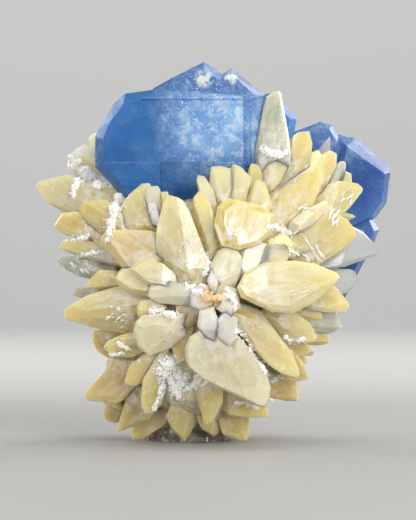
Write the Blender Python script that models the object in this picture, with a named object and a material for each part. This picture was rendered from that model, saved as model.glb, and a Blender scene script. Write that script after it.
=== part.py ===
"""Celestite on calcite: blue tabular celestite crystals on a radiating cluster of calcite crystals.

The front faces -Y and the specimen rests on the flat underside of its matrix at Z = 0.
Lengths in this file are millimetres until a mesh is finished, and metres in the scene.
A front view point is (x, z): x across, z up from the surface that the specimen rests on.
"""

import math
import random

import bmesh
import bpy
from mathutils import Vector

METRES_PER_MM = 0.001
UP = Vector((0.0, 0.0, 1.0))
BACK = Vector((0.0, 1.0, 0.0))

# The dome of crystals: how far it bulges towards the front, and where its depth falls to nothing
DOME_DEPTH = 34.0
DOME_CENTRE_Z = 46.0
DOME_HALF_WIDTH = 56.0
DOME_HALF_HEIGHT = 58.0
DOME_LEAN = 0.8

# Where every crystal points back to
HEART = Vector((-2.0, 7.0, 44.0))
ROOT_REACH = 0.35

# Calcite crystal faces
FRONT_FACE_SLOPE = math.radians(33)
BACK_FACE_SLOPE = math.radians(48)
BACK_CAP_SHARE = 0.8
ROUGH_BLOCK = 160.0
ON_PLANE = 0.001
WELD = 0.02

# The outline of the crystals that follow a rule, across and along, as shares of the width and the length
RULE_OUTLINE = ((-0.42, -0.4), (-0.5, 0.1), (0.0, 0.6), (0.42, 0.24), (0.42, -0.4))
RULE_TIP = 2
RULE_HEIGHT_SHARE = 0.32
LOWEST_TIP = 1.0
OUTLINE_MARGIN = 0.6

# The crystals over the back, spread evenly by the golden angle
BACK_SEED = 21
BACK_COUNT = 64
BACK_FRONT_LIMIT = 0.0
BACK_SHELL_CENTRE = Vector((-2.0, 5.0, 43.0))
BACK_SHELL_RADII = Vector((30.0, 22.0, 41.0))
BACK_LENGTH = (15.0, 26.0)
BACK_WIDTH = (11.0, 17.0)
BACK_OUTWARD = 0.45
BACK_SWING = 0.25
BACK_TURN = 0.2
BACK_BENDS = (0.0, 0.4, 0.8, 1.3)
GOLDEN_ANGLE = math.pi * (3 - math.sqrt(5))

# The crystals down both sides: rows at these depths, from the lowest height up
BAND_SEED = 4
BAND_DEPTHS = (-7.5, 4.5)
BAND_HEIGHTS = (12.0, 22.0, 32.0, 42.0, 52.0, 62.0, 72.0)
BAND_STAGGER = 5.0
BAND_JITTER = 1.0
BAND_LENGTH = (18.0, 24.0)
BAND_WIDTH = (12.0, 17.0)
BAND_SHORTEST = 3.0
BAND_ROOT = Vector((-2.0, 4.0, 44.0))
BAND_RISE = 0.6

# The crystals around the foot, from its right side over the back to its left side
HEM_SEED = 8
HEM_COUNT = 13
HEM_FROM = math.radians(-40)
HEM_TO = math.radians(225)
HEM_HEIGHTS = (5.5, 10.0)
HEM_DROP = (0.15, 0.4)
HEM_LENGTH = (11.0, 16.0)
HEM_WIDTH = (9.0, 12.5)
HEM_TURN = 0.06
HEM_INSET = 2.0
HEM_SHARES = (1.0, 0.8, 0.6)

# Half widths of the front view outline at some heights, which nothing on the sides may pass
LEFT_LIMIT = (
    (0, 22), (3, 26), (8, 31), (12, 34), (16, 36), (24, 31.5), (30, 33), (36, 39), (42, 40), (46, 36),
    (50, 39), (56, 43), (60, 42), (70, 42), (76, 45), (80, 42), (85, 38), (92, 34), (95, 26))
RIGHT_LIMIT = (
    (0, 9), (5, 11), (8, 14), (12, 20), (18, 24), (24, 27), (30, 32), (34, 36), (40, 38), (46, 40),
    (52, 41), (58, 44), (85, 44), (95, 34))

# The massive calcite below the crystals: centre, radii
LUMPS = (
    ((-4.0, 0.0, 38.0), (28.0, 26.0, 37.0)),
    ((1.0, 8.0, 60.0), (29.0, 14.0, 26.0)),
    ((-22.0, 6.0, 68.0), (15.0, 11.0, 16.0)),
    ((22.0, 3.0, 64.0), (16.0, 12.0, 20.0)),
    ((-1.0, -23.0, 45.0), (10.0, 8.0, 9.0)),
    ((-10.0, -19.0, 26.0), (9.0, 9.0, 8.0)),
    ((-16.0, -17.0, 60.0), (12.0, 10.0, 9.0)),
    ((10.0, -20.0, 60.0), (12.0, 9.0, 9.0)),
)
LUMP_ROUGHNESS = 0.06
LUMP_DETAIL = 2
LUMP_SEED = 5

# The foot, whose underside is cut flat
FOOT_CENTRE = (-6.5, 7.0)
FOOT_RADII = (14.0, 15.0)
FOOT_TOP_RADII = (17.0, 16.0)
FOOT_TOP = 12.0
FOOT_SIDES = 11
FOOT_ROUGHNESS = 0.12
FOOT_SEED = 3

# The clearance between a celestite crystal and the calcite around it
SOCKET_GAP = 0.3

# Calcite crystals of the front: lift towards the front from the dome, height of the front faces,
# outline and, where the crystal stands straighter than the dome, its share of the dome's lean
FRONT_CRYSTALS = {
    "left_point": (1, 3.4, (
        (-53.7, 76.8), (-52.2, 78.3), (-43.8, 80.6), (-35.1, 79.2), (-33.6, 72.6), (-39.6, 68.4),
        (-48.0, 69.0), (-51.3, 72.6))),
    "left_back_tall": (-14, 3.0, (
        (-38.5, 91.5), (-34.2, 93.3), (-26.1, 92.1), (-26.1, 83.1), (-36.6, 83.1), (-38.4, 88.8))),
    "left_back_frosty": (-13, 2.6, (
        (-44.1, 81.9), (-43.5, 85.5), (-41.1, 87.9), (-38.7, 89.4), (-34.0, 87.6), (-34.0, 80.0),
        (-42.6, 80.4))),
    "left_back_blade": (-7, 2.4, (
        (-41.0, 85.2), (-39.6, 86.7), (-34.5, 85.8), (-30.0, 84.6), (-30.0, 76.0), (-36.6, 76.0),
        (-40.2, 81.0))),
    "left_shelf": (-5, 2.6, (
        (-38.4, 75.6), (-33.6, 77.7), (-29.7, 78.0), (-25.2, 75.0), (-24.0, 70.5), (-33.6, 69.0),
        (-37.2, 71.0))),
    "left_broad": (3, 3.0, (
        (-41.0, 70.2), (-38.1, 72.6), (-32.1, 73.2), (-27.5, 69.6), (-28.5, 60.6), (-34.2, 61.2),
        (-39.0, 65.4))),
    "left_yellow": (1, 3.4, (
        (-47.4, 64.7), (-44.7, 68.6), (-39.6, 69.0), (-33.6, 66.0), (-33.6, 59.1), (-42.6, 60.6),
        (-45.6, 63.0))),
    "left_middle": (1, 3.2, (
        (-46.5, 57.6), (-44.4, 60.3), (-36.6, 61.8), (-27.6, 58.0), (-27.6, 52.5), (-38.7, 54.0),
        (-44.1, 55.5))),
    "left_glassy": (-4, 3.6, (
        (-46.6, 54.0), (-45.9, 55.2), (-43.8, 55.7), (-34.0, 56.0), (-33.0, 49.5), (-39.0, 48.0),
        (-43.2, 50.4), (-45.9, 51.9))),
    "left_small": (0, 2.2, (
        (-37.8, 47.4), (-33.3, 51.9), (-27.0, 52.0), (-27.0, 46.8), (-32.7, 45.6), (-36.3, 45.6))),
    "left_cube": (-7, 1.8, (
        (-42.2, 44.1), (-40.8, 45.9), (-39.0, 46.4), (-34.0, 46.0), (-34.0, 42.6), (-41.1, 42.9))),
    "arrow": (4, 3.6, (
        (-33.9, 60.9), (-30.6, 63.6), (-18.6, 64.8), (-16.2, 57.6), (-22.0, 54.6), (-26.9, 52.3))),
    "tooth_left": (3, 3.0, (
        (-28.5, 49.5), (-27.0, 52.2), (-23.1, 54.9), (-17.5, 53.1), (-17.5, 43.5), (-23.1, 43.4),
        (-28.2, 47.4))),
    "tooth_right": (5, 2.8, (
        (-24.3, 52.5), (-21.6, 54.6), (-18.0, 55.8), (-13.0, 53.0), (-13.5, 47.0), (-18.9, 46.8),
        (-21.6, 49.2))),
    "long_left": (2, 4.2, (
        (-44.7, 38.4), (-43.9, 40.1), (-37.5, 44.6), (-30.0, 48.2), (-21.0, 44.4), (-20.4, 38.1),
        (-23.4, 32.4), (-31.2, 30.9), (-38.4, 33.7), (-43.8, 36.9))),
    "left_dark": (-7, 2.2, (
        (-35.7, 30.6), (-35.4, 33.5), (-29.0, 33.5), (-28.0, 24.6), (-32.4, 25.0), (-34.5, 27.4))),
    "left_low": (2, 2.8, (
        (-32.1, 28.8), (-31.2, 30.6), (-27.6, 32.4), (-20.0, 32.6), (-19.4, 27.0), (-26.1, 24.4),
        (-29.1, 25.4))),
    "knob": (4, 3.6, (
        (-23.3, 33.6), (-22.5, 36.6), (-20.7, 38.7), (-15.6, 39.0), (-10.8, 36.6), (-10.2, 31.5),
        (-13.6, 27.2), (-18.6, 26.8), (-21.8, 29.4))),
    "tan_chip": (2, 1.8, (
        (-22.2, 41.1), (-21.3, 42.9), (-18.0, 43.6), (-15.6, 40.5), (-18.6, 37.9), (-21.9, 38.2))),
    "oval": (4, 3.2, (
        (-18.9, 44.6), (-18.0, 47.7), (-13.8, 49.2), (-9.6, 48.6), (-5.6, 46.2), (-5.8, 41.6),
        (-12.0, 40.8), (-17.1, 41.8))),
    "foot_pair_left": (1, 3.0, (
        (-24.3, 74.4), (-20.7, 77.4), (-18.4, 77.4), (-16.5, 72.6), (-17.0, 63.0), (-27.6, 62.6),
        (-28.2, 69.0))),
    "foot_pair_right": (2, 2.2, (
        (-18.9, 76.6), (-16.0, 77.0), (-15.3, 75.9), (-15.0, 66.0), (-19.2, 64.0), (-20.7, 72.0))),
    "foot_chip": (4, 1.2, (
        (-19.1, 71.4), (-16.8, 71.6), (-16.0, 69.0), (-16.0, 65.0), (-18.2, 66.0))),
    "tall_shade": (2, 1.6, (
        (-16.0, 73.8), (-15.3, 75.0), (-13.0, 75.0), (-12.6, 68.0), (-15.8, 68.0))),
    "tall_left": (5, 4.0, (
        (-13.0, 74.4), (-8.4, 73.0), (-6.0, 69.6), (-2.0, 59.0), (-2.0, 53.0), (-7.0, 47.6),
        (-12.0, 48.0), (-16.0, 51.2), (-18.3, 55.8), (-17.6, 60.0), (-16.4, 66.0), (-14.8, 71.6))),
    "tall_right": (3, 3.2, (
        (-3.6, 76.0), (-1.6, 73.8), (2.0, 66.0), (3.0, 59.0), (-2.0, 57.0), (-5.4, 63.6),
        (-7.2, 69.3), (-5.6, 73.8))),
    "peg": (1, 1.6, (
        (-4.6, 79.2), (-4.2, 80.1), (-2.1, 79.8), (0.6, 75.6), (2.2, 70.0), (-1.4, 69.4), (-4.2, 75.0))),
    "collar_left": (1, 2.8, (
        (-0.6, 82.5), (2.7, 82.5), (6.0, 81.6), (8.0, 74.1), (4.0, 69.7), (0.2, 73.6), (-1.4, 79.2))),
    "collar_right": (2, 3.0, (
        (4.6, 82.3), (6.2, 83.2), (8.6, 82.2), (11.7, 78.9), (11.0, 75.6), (8.4, 70.4), (3.0, 70.4),
        (2.6, 78.6))),
    "collar_tip": (-1, 2.0, (
        (10.2, 81.3), (11.7, 83.6), (13.8, 82.8), (15.6, 79.2), (15.0, 73.0), (10.4, 76.0))),
    "collar_grey": (-6, 2.2, (
        (11.0, 84.0), (14.1, 88.2), (17.2, 87.6), (17.6, 81.0), (12.4, 80.5))),
    "lens": (7, 3.8, (
        (4.8, 73.0), (8.7, 72.2), (15.0, 70.6), (18.3, 67.8), (17.6, 63.0), (13.5, 59.7),
        (7.8, 58.0), (2.7, 59.4), (0.6, 65.4), (1.5, 70.6))),
    "pillar": (2, 2.4, (
        (10.2, 75.6), (13.2, 78.6), (15.6, 77.6), (17.8, 71.1), (16.0, 67.5), (9.0, 68.5))),
    "bun": (2, 3.0, (
        (15.3, 82.4), (16.8, 85.6), (19.2, 87.3), (23.7, 85.5), (24.5, 83.4), (22.8, 79.8),
        (18.0, 77.6), (15.6, 79.0))),
    "tower": (10, 3.0, (
        (16.0, 102.9), (18.0, 104.6), (19.7, 105.0), (20.7, 104.2), (21.4, 100.5), (22.8, 91.0),
        (22.6, 80.0), (14.0, 80.0), (13.9, 91.0), (15.2, 99.0)), 0.2),
    "crest_left": (4, 3.0, (
        (22.4, 90.9), (25.8, 92.7), (29.1, 93.1), (30.0, 89.1), (29.4, 80.0), (20.8, 80.0), (21.2, 87.6))),
    "crest_right": (1, 3.0, (
        (29.0, 93.1), (32.4, 93.6), (34.7, 93.1), (35.4, 91.5), (35.4, 86.0), (33.0, 78.0),
        (28.0, 78.0))),
    "honey": (4, 4.2, (
        (22.5, 83.4), (29.7, 88.5), (32.0, 89.1), (33.2, 87.9), (34.2, 78.6), (31.8, 71.6),
        (24.9, 66.6), (18.6, 65.4), (16.9, 71.4), (17.1, 77.0))),
    "notch_upper": (2, 2.2, (
        (33.0, 86.9), (35.4, 87.2), (37.4, 86.2), (37.2, 83.0), (36.0, 77.0), (31.5, 75.6), (31.0, 83.0))),
    "notch_glassy": (1, 1.8, (
        (36.6, 82.8), (37.8, 84.0), (39.6, 84.1), (40.2, 83.2), (39.6, 79.0), (38.1, 74.6), (34.4, 75.6))),
    "notch_lower": (1, 1.6, (
        (38.7, 80.4), (39.6, 81.1), (41.7, 80.4), (41.9, 77.4), (39.9, 73.6), (37.0, 74.6))),
    "striped": (3, 3.4, (
        (36.6, 79.1), (39.3, 78.6), (43.5, 77.6), (45.1, 75.8), (45.0, 74.9), (42.0, 71.2),
        (39.0, 67.6), (32.4, 66.6), (30.0, 71.0), (32.4, 78.4))),
    "glint_tooth": (5, 2.6, (
        (24.0, 67.2), (29.4, 71.9), (33.8, 73.0), (34.4, 71.1), (33.6, 69.0), (29.4, 64.6), (23.4, 63.6))),
    "right_amber": (3, 4.0, (
        (44.7, 61.1), (42.6, 64.4), (40.4, 67.0), (33.9, 70.2), (26.4, 66.4), (24.0, 58.2),
        (28.5, 53.4), (32.4, 51.8), (35.6, 52.6), (41.2, 58.6))),
    "right_pale": (3, 2.8, (
        (21.3, 63.6), (25.5, 66.6), (31.4, 66.3), (31.9, 60.6), (27.4, 56.4), (22.0, 58.7))),
    "right_glassy": (-3, 3.4, (
        (50.2, 56.9), (49.0, 58.9), (45.2, 63.0), (41.4, 64.9), (35.0, 61.6), (34.0, 54.0),
        (41.4, 52.9), (46.5, 54.2), (49.6, 55.4))),
    "right_clear": (-6, 2.6, (
        (42.5, 51.4), (43.6, 48.9), (42.2, 46.0), (39.8, 44.5), (34.0, 44.6), (33.0, 51.6), (38.0, 53.0))),
    "wing": (8, 4.0, (
        (37.6, 49.5), (36.6, 51.2), (29.7, 54.0), (23.7, 54.8), (15.0, 54.2), (9.6, 51.6), (7.2, 47.1),
        (8.4, 44.2), (12.9, 41.9), (17.4, 39.9), (23.4, 39.3), (30.0, 42.3), (34.8, 46.2))),
    "wing_under": (1, 3.2, (
        (37.0, 50.5), (39.3, 45.2), (40.8, 40.8), (39.8, 39.4), (33.9, 39.0), (28.0, 41.0), (29.0, 50.0))),
    "right_tan": (-1, 2.2, (
        (32.9, 37.2), (31.6, 41.9), (25.4, 42.0), (24.0, 36.5), (29.4, 35.4))),
    "right_clear_low": (-4, 3.0, (
        (38.9, 33.3), (38.6, 35.0), (37.2, 39.0), (32.0, 41.0), (27.0, 38.0), (28.0, 31.6), (36.9, 31.7))),
    "right_step_a": (-6, 1.8, (
        (35.3, 29.4), (34.8, 32.4), (28.0, 33.0), (27.0, 28.0), (34.2, 28.5))),
    "right_step_b": (-4, 1.8, (
        (30.9, 25.8), (30.3, 28.0), (25.0, 30.0), (24.0, 25.0))),
    "right_step_c": (-3, 1.6, (
        (28.4, 23.3), (28.5, 25.6), (24.0, 28.5), (22.5, 23.6))),
    "right_step_d": (-1, 1.8, (
        (29.4, 30.4), (29.1, 26.7), (25.2, 25.6), (21.0, 29.1), (22.4, 32.4))),
    "petal_right": (2, 2.6, (
        (31.1, 30.7), (31.3, 32.1), (28.8, 36.2), (25.8, 39.0), (20.4, 40.6), (17.0, 38.0),
        (20.0, 32.6), (23.6, 30.0), (27.9, 30.0))),
    "long_right": (5, 3.8, (
        (26.4, 20.8), (25.2, 19.7), (20.4, 21.0), (15.0, 24.6), (9.5, 31.6), (6.6, 39.0), (7.8, 44.6),
        (13.4, 43.4), (18.4, 38.6), (22.0, 32.1), (24.6, 27.0))),
    "low_amber": (0, 2.6, (
        (28.9, 19.2), (27.4, 23.6), (24.4, 28.4), (19.0, 26.0), (18.6, 18.2), (25.2, 17.9))),
    "low_tan": (-2, 2.8, (
        (25.8, 12.3), (25.5, 18.2), (20.4, 22.0), (14.0, 20.0), (13.6, 13.2), (24.2, 11.8))),
    "big_lens": (8, 4.6, (
        (15.9, 11.7), (16.9, 13.8), (17.3, 17.4), (15.9, 22.2), (11.6, 28.4), (7.2, 33.4), (3.0, 36.2),
        (-2.1, 35.6), (-6.6, 32.6), (-8.0, 29.1), (-7.7, 25.2), (-0.6, 19.2), (8.4, 14.2), (13.5, 11.7))),
    "under_lens": (2, 2.6, (
        (17.0, 8.0), (16.4, 12.0), (8.4, 17.0), (2.0, 16.0), (1.4, 9.4), (11.4, 7.8))),
    "fang": (4, 2.8, (
        (-1.3, 5.9), (0.1, 6.6), (3.0, 12.3), (4.6, 16.4), (0.4, 20.6), (-6.2, 18.0), (-5.3, 12.6),
        (-2.7, 6.9))),
    "low_point_left": (-1, 2.8, (
        (-8.0, 0.2), (-12.0, 4.4), (-13.8, 8.1), (-11.6, 12.8), (-4.4, 13.4), (-3.4, 8.1), (-5.6, 3.2))),
    "low_point_middle": (-1, 2.6, (
        (2.3, 0.2), (-3.2, 4.3), (-5.2, 8.1), (-2.4, 14.0), (3.6, 13.0), (3.5, 2.4))),
    "low_point_right": (-1, 2.8, (
        (10.2, 0.3), (3.2, 2.5), (1.0, 7.2), (4.2, 12.0), (11.4, 10.4), (12.2, 5.4), (11.5, 0.8))),
    "low_big": (5, 3.8, (
        (-18.8, 6.9), (-20.7, 9.0), (-21.2, 14.4), (-20.6, 19.2), (-18.6, 24.4), (-13.6, 26.2),
        (-6.4, 19.2), (-5.8, 13.0), (-9.6, 10.2))),
    "low_small": (2, 2.4, (
        (-25.4, 17.7), (-25.9, 19.0), (-24.5, 23.4), (-20.1, 27.0), (-15.6, 24.6), (-18.4, 17.5))),
    "low_left": (2, 3.4, (
        (-38.7, 12.9), (-38.0, 16.3), (-33.2, 24.0), (-30.2, 27.9), (-23.4, 25.6), (-22.4, 17.1),
        (-25.6, 11.4), (-37.7, 11.7))),
    "low_ragged": (-4, 2.2, (
        (-32.6, 9.3), (-31.5, 11.4), (-25.6, 13.0), (-24.6, 7.0), (-28.9, 4.7), (-32.4, 6.8))),
    "low_amber_left": (2, 2.8, (
        (-28.4, 3.1), (-28.2, 5.1), (-27.3, 12.2), (-23.1, 16.0), (-18.0, 13.0), (-17.4, 6.4),
        (-23.4, 3.9), (-27.0, 2.9))),
    "low_wedge": (-3, 2.2, (
        (-23.9, 0.3), (-24.7, 3.0), (-23.5, 6.0), (-18.6, 9.0), (-12.4, 9.6), (-11.4, 5.0),
        (-18.7, 1.2))),
    "centre_petal_left": (3, 2.0, (
        (-4.4, 36.0), (-3.8, 40.2), (0.4, 41.6), (2.2, 36.6), (0.9, 31.2), (-2.3, 32.4))),
    "centre_petal_right": (4, 1.8, (
        (1.3, 37.2), (3.9, 40.6), (7.4, 38.2), (7.4, 31.8), (5.1, 29.8), (1.6, 32.4))),
    "centre_petal_top": (3, 1.4, (
        (1.3, 40.8), (3.4, 43.6), (6.2, 42.0), (5.8, 37.4))),
    "centre_blade": (2, 1.2, (
        (-1.5, 49.2), (-0.3, 52.2), (1.8, 48.4), (1.4, 44.4), (-0.5, 45.2))),
    "centre_pale": (3, 2.8, (
        (-0.6, 54.0), (2.2, 58.4), (6.6, 59.4), (9.0, 55.2), (8.4, 49.4), (3.9, 47.6), (0.7, 49.2))),
    "ledge_pale": (4, 2.2, (
        (7.6, 58.8), (12.9, 60.9), (17.6, 59.4), (16.4, 52.4), (10.2, 50.4), (7.6, 53.4))),
    "ledge_cream": (5, 2.0, (
        (15.4, 59.6), (21.6, 59.6), (23.0, 57.0), (21.0, 52.0), (14.4, 52.0))),
    "ledge_yellow": (5, 1.8, (
        (16.4, 61.2), (21.0, 63.2), (24.8, 59.2), (21.3, 56.4), (17.0, 58.0))),
    "gap_brown": (1, 1.6, (
        (-12.4, 30.0), (-10.6, 35.0), (-6.6, 34.6), (-6.4, 26.0), (-10.2, 24.0))),
    "gap_tan": (1, 2.0, (
        (-11.6, 35.1), (-10.4, 41.4), (-6.2, 42.0), (-2.8, 39.3), (-5.4, 34.6), (-9.3, 33.0))),
}

# Celestite crystals: for each block, the front table, the girdle and the back table as (depth, outline)
CELESTITE = {
    "celestite_large": {
        "body": (
            (-16.0, ((-32.4, 84.0), (-32.4, 90.5), (-30.4, 95.4), (-26.4, 100.8), (-20.4, 102.9),
                     (11.1, 102.9), (11.1, 80.0), (6.0, 62.0), (-14.0, 62.0), (-24.6, 76.6))),
            (-12.0, ((-34.8, 82.2), (-34.8, 91.2), (-33.7, 94.0), (-29.0, 101.6), (-25.8, 104.1),
                     (-16.5, 105.4), (16.2, 103.4), (16.0, 98.0), (14.4, 82.0), (9.0, 62.0),
                     (-16.0, 62.0), (-24.9, 74.6))),
            (6.0, ((-31.0, 84.0), (-31.4, 92.0), (-25.0, 100.6), (12.0, 100.4), (12.6, 82.0),
                   (5.0, 64.0), (-14.0, 64.0), (-24.0, 76.0))),
        ),
        "west_peak": (
            (-11.0, ((-16.4, 100.0), (-15.4, 104.6), (-7.0, 108.6), (-2.4, 111.4), (1.8, 108.4),
                     (4.0, 100.0))),
            (-7.5, ((-18.6, 98.0), (-17.7, 105.7), (-12.0, 108.9), (-7.5, 111.0), (-2.4, 113.7),
                    (3.0, 110.0), (8.0, 104.0), (8.0, 98.0))),
            (3.5, ((-16.0, 98.0), (-15.0, 103.6), (-3.0, 110.6), (6.0, 102.4), (6.0, 98.0))),
        ),
        "east_peak": (
            (-10.2, ((1.4, 100.0), (3.0, 108.0), (6.0, 109.8), (12.6, 103.8), (13.0, 99.0))),
            (-6.0, ((-1.0, 98.0), (1.0, 108.6), (6.0, 111.9), (16.2, 103.2), (15.6, 96.0))),
            (4.6, ((0.0, 98.0), (2.0, 106.0), (6.0, 108.8), (13.2, 101.6), (13.0, 97.0))),
        ),
    },
    "celestite_middle": {
        "body": (
            (-5.0, ((14.4, 84.0), (14.8, 101.0), (17.6, 103.0), (23.6, 96.6), (22.0, 84.0))),
            (-2.6, ((13.0, 82.0), (13.6, 101.4), (15.9, 104.3), (18.0, 104.5), (25.5, 96.9),
                    (24.9, 93.6), (23.0, 82.0))),
            (3.0, ((14.6, 82.0), (15.0, 101.0), (17.6, 102.6), (23.0, 96.0), (21.6, 82.0))),
        ),
    },
    "celestite_right": {
        "west": (
            (4.4, ((24.0, 60.0), (24.0, 90.0), (27.4, 92.6), (32.6, 94.6), (35.4, 93.8), (40.0, 86.0),
                   (40.0, 60.0))),
            (7.0, ((22.4, 58.0), (22.4, 91.4), (25.7, 93.3), (32.6, 96.0), (36.2, 95.0), (42.0, 85.0),
                   (42.0, 58.0))),
            (17.4, ((24.6, 60.0), (24.6, 88.6), (32.0, 92.0), (39.4, 82.0), (39.4, 60.0))),
        ),
        "east": (
            (2.4, ((40.6, 88.6), (41.4, 84.2), (44.2, 82.0), (47.6, 80.6), (52.2, 80.2), (51.4, 72.2),
                   (48.0, 67.4), (39.0, 63.0), (38.0, 76.0))),
            (8.4, ((35.6, 91.0), (37.9, 92.3), (43.3, 91.0), (50.7, 85.2), (53.6, 82.8), (54.0, 80.7),
                   (52.8, 71.4), (49.6, 66.9), (38.6, 61.0), (33.4, 75.0))),
            (20.4, ((37.6, 88.0), (43.0, 87.0), (50.4, 81.4), (50.0, 72.0), (46.6, 67.6), (39.6, 64.0))),
        ),
        "south": (
            (5.2, ((35.4, 71.0), (45.4, 70.6), (49.0, 63.0), (47.6, 59.6), (38.2, 42.4), (35.4, 42.0))),
            (9.6, ((33.6, 73.4), (46.2, 73.0), (50.6, 63.3), (49.2, 59.3), (38.7, 39.6), (36.4, 38.1),
                   (32.0, 42.0))),
            (15.2, ((35.0, 71.0), (45.0, 70.6), (48.0, 63.0), (46.4, 59.8), (37.4, 42.6),
                    (34.6, 43.0))),
        ),
    },
}

MATERIALS = {
    "calcite": ((0.84, 0.74, 0.44, 1.0), 0.38),
    "celestite": ((0.12, 0.30, 0.66, 1.0), 0.2),
}


def clear_scene():
    """Removes every object that is in the scene."""
    for item in list(bpy.data.objects):
        bpy.data.objects.remove(item)


def material(name):
    """The Principled material of this name, made once."""
    if name in bpy.data.materials:
        return bpy.data.materials[name]
    colour, roughness = MATERIALS[name]
    made = bpy.data.materials.new(name)
    made.use_nodes = True
    shader = made.node_tree.nodes["Principled BSDF"]
    shader.inputs["Base Color"].default_value = colour
    shader.inputs["Roughness"].default_value = roughness
    shader.inputs["Metallic"].default_value = 0.0
    return made


def cut_block(planes, centre, grow=0.0):
    """The corners of the convex solid around centre that is left inside every (point, normal) plane."""
    block = bmesh.new()
    bmesh.ops.create_cube(block, size=ROUGH_BLOCK)
    bmesh.ops.translate(block, verts=block.verts, vec=centre)
    for point, normal in planes:
        everything = block.verts[:] + block.edges[:] + block.faces[:]
        cut = bmesh.ops.bisect_plane(
            block, geom=everything, dist=ON_PLANE, plane_co=point + normal * grow,
            plane_no=normal, clear_outer=True)
        rim = [part for part in cut["geom_cut"] if isinstance(part, bmesh.types.BMEdge)]
        bmesh.ops.contextual_create(block, geom=rim)
    corners = [corner.co.copy() for corner in block.verts]
    block.free()
    return corners


def hull(points):
    """A closed convex mesh around the points, in millimetres."""
    solid = bmesh.new()
    for point in points:
        solid.verts.new(point)
    bmesh.ops.remove_doubles(solid, verts=solid.verts, dist=WELD)
    made = bmesh.ops.convex_hull(solid, input=solid.verts)
    inside = set(made["geom_interior"]) | set(made["geom_unused"])
    bmesh.ops.delete(solid, geom=[p for p in inside if isinstance(p, bmesh.types.BMVert)], context="VERTS")
    bmesh.ops.recalc_face_normals(solid, faces=solid.faces)
    return solid


def to_object(solid, name, collection):
    """Puts a mesh in millimetres into the scene, in metres."""
    bmesh.ops.scale(solid, vec=(METRES_PER_MM,) * 3, verts=solid.verts)
    mesh = bpy.data.meshes.new(name)
    solid.to_mesh(mesh)
    solid.free()
    made = bpy.data.objects.new(name, mesh)
    collection.objects.link(made)
    return made


def helper_collection(name):
    """A collection of shapes that others are built from, which is not part of the specimen."""
    made = bpy.data.collections.new(name)
    bpy.context.scene.collection.children.link(made)
    return made


def hide_helper(item):
    """Keeps a shape that others are built from out of the finished specimen."""
    item.hide_render = True
    item.display_type = "WIRE"


def dome_depth(x, z):
    """How deep the middle of the crystals lies at a front view point, negative towards the front."""
    share = (x / DOME_HALF_WIDTH) ** 2 + ((z - DOME_CENTRE_Z) / DOME_HALF_HEIGHT) ** 2
    return -DOME_DEPTH * (1 - share)


def dome_tilt(x, z):
    """How the depth changes with x and with z at a front view point."""
    across = 2 * DOME_DEPTH * x / DOME_HALF_WIDTH ** 2
    up = 2 * DOME_DEPTH * (z - DOME_CENTRE_Z) / DOME_HALF_HEIGHT ** 2
    return across * DOME_LEAN, up * DOME_LEAN


def crystal(girdle, facing, front_height, back_faces=True):
    """A calcite crystal: faces rise from its girdle to a flat top, and its back tapers to its root."""
    middle = sum(girdle, Vector()) / len(girdle)
    planes = []
    for start, end in zip(girdle, girdle[1:] + girdle[:1]):
        outward = (end - start).cross(facing).normalized()
        if outward.dot(middle - start) > 0:
            outward.negate()
        planes.append((start, outward * math.sin(FRONT_FACE_SLOPE) + facing * math.cos(FRONT_FACE_SLOPE)))
        planes.append((start, outward * math.sin(BACK_FACE_SLOPE) - facing * math.cos(BACK_FACE_SLOPE)))
    planes.append((middle + facing * front_height, facing))
    planes.append((middle - facing * front_height * BACK_CAP_SHARE * back_faces, -facing))
    corners = cut_block(planes, middle)
    root = HEART.lerp(middle, ROOT_REACH)
    return hull(corners + [root])


def front_crystal(lift, front_height, outline, lean=1.0):
    """A crystal whose outline is given in the front view, leaning back as the dome does or less."""
    centre_x = sum(x for x, z in outline) / len(outline)
    centre_z = sum(z for x, z in outline) / len(outline)
    depth = dome_depth(centre_x, centre_z) - lift
    across, up = (slope * lean for slope in dome_tilt(centre_x, centre_z))
    girdle = [Vector((x, depth + across * (x - centre_x) + up * (z - centre_z), z)) for x, z in outline]
    facing = Vector((across, -1.0, up)).normalized()
    return crystal(girdle, facing, front_height)


def between(points, height):
    """The value at this height on a line through (height, value) points."""
    for (low, low_value), (high, high_value) in zip(points, points[1:]):
        if height <= high:
            share = max(0.0, (height - low) / (high - low))
            return low_value + share * (high_value - low_value)
    return points[-1][1]


def inside_outline(point):
    """Whether a point on a side stays inside the outline of the front view."""
    limit = RIGHT_LIMIT if point.x > 0 else LEFT_LIMIT
    return abs(point.x) < between(limit, point.z) - OUTLINE_MARGIN


def rule_girdle(place, axis, across, length, width):
    """The girdle of a crystal of a rule, with its tip along the axis."""
    return [place + across * width * a + axis * length * b for a, b in RULE_OUTLINE]


def rule_crystal(girdle, facing, width):
    """A crystal of a rule, with a flat back behind its tip."""
    return crystal(girdle, facing, width * RULE_HEIGHT_SHARE, back_faces=False)


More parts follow.
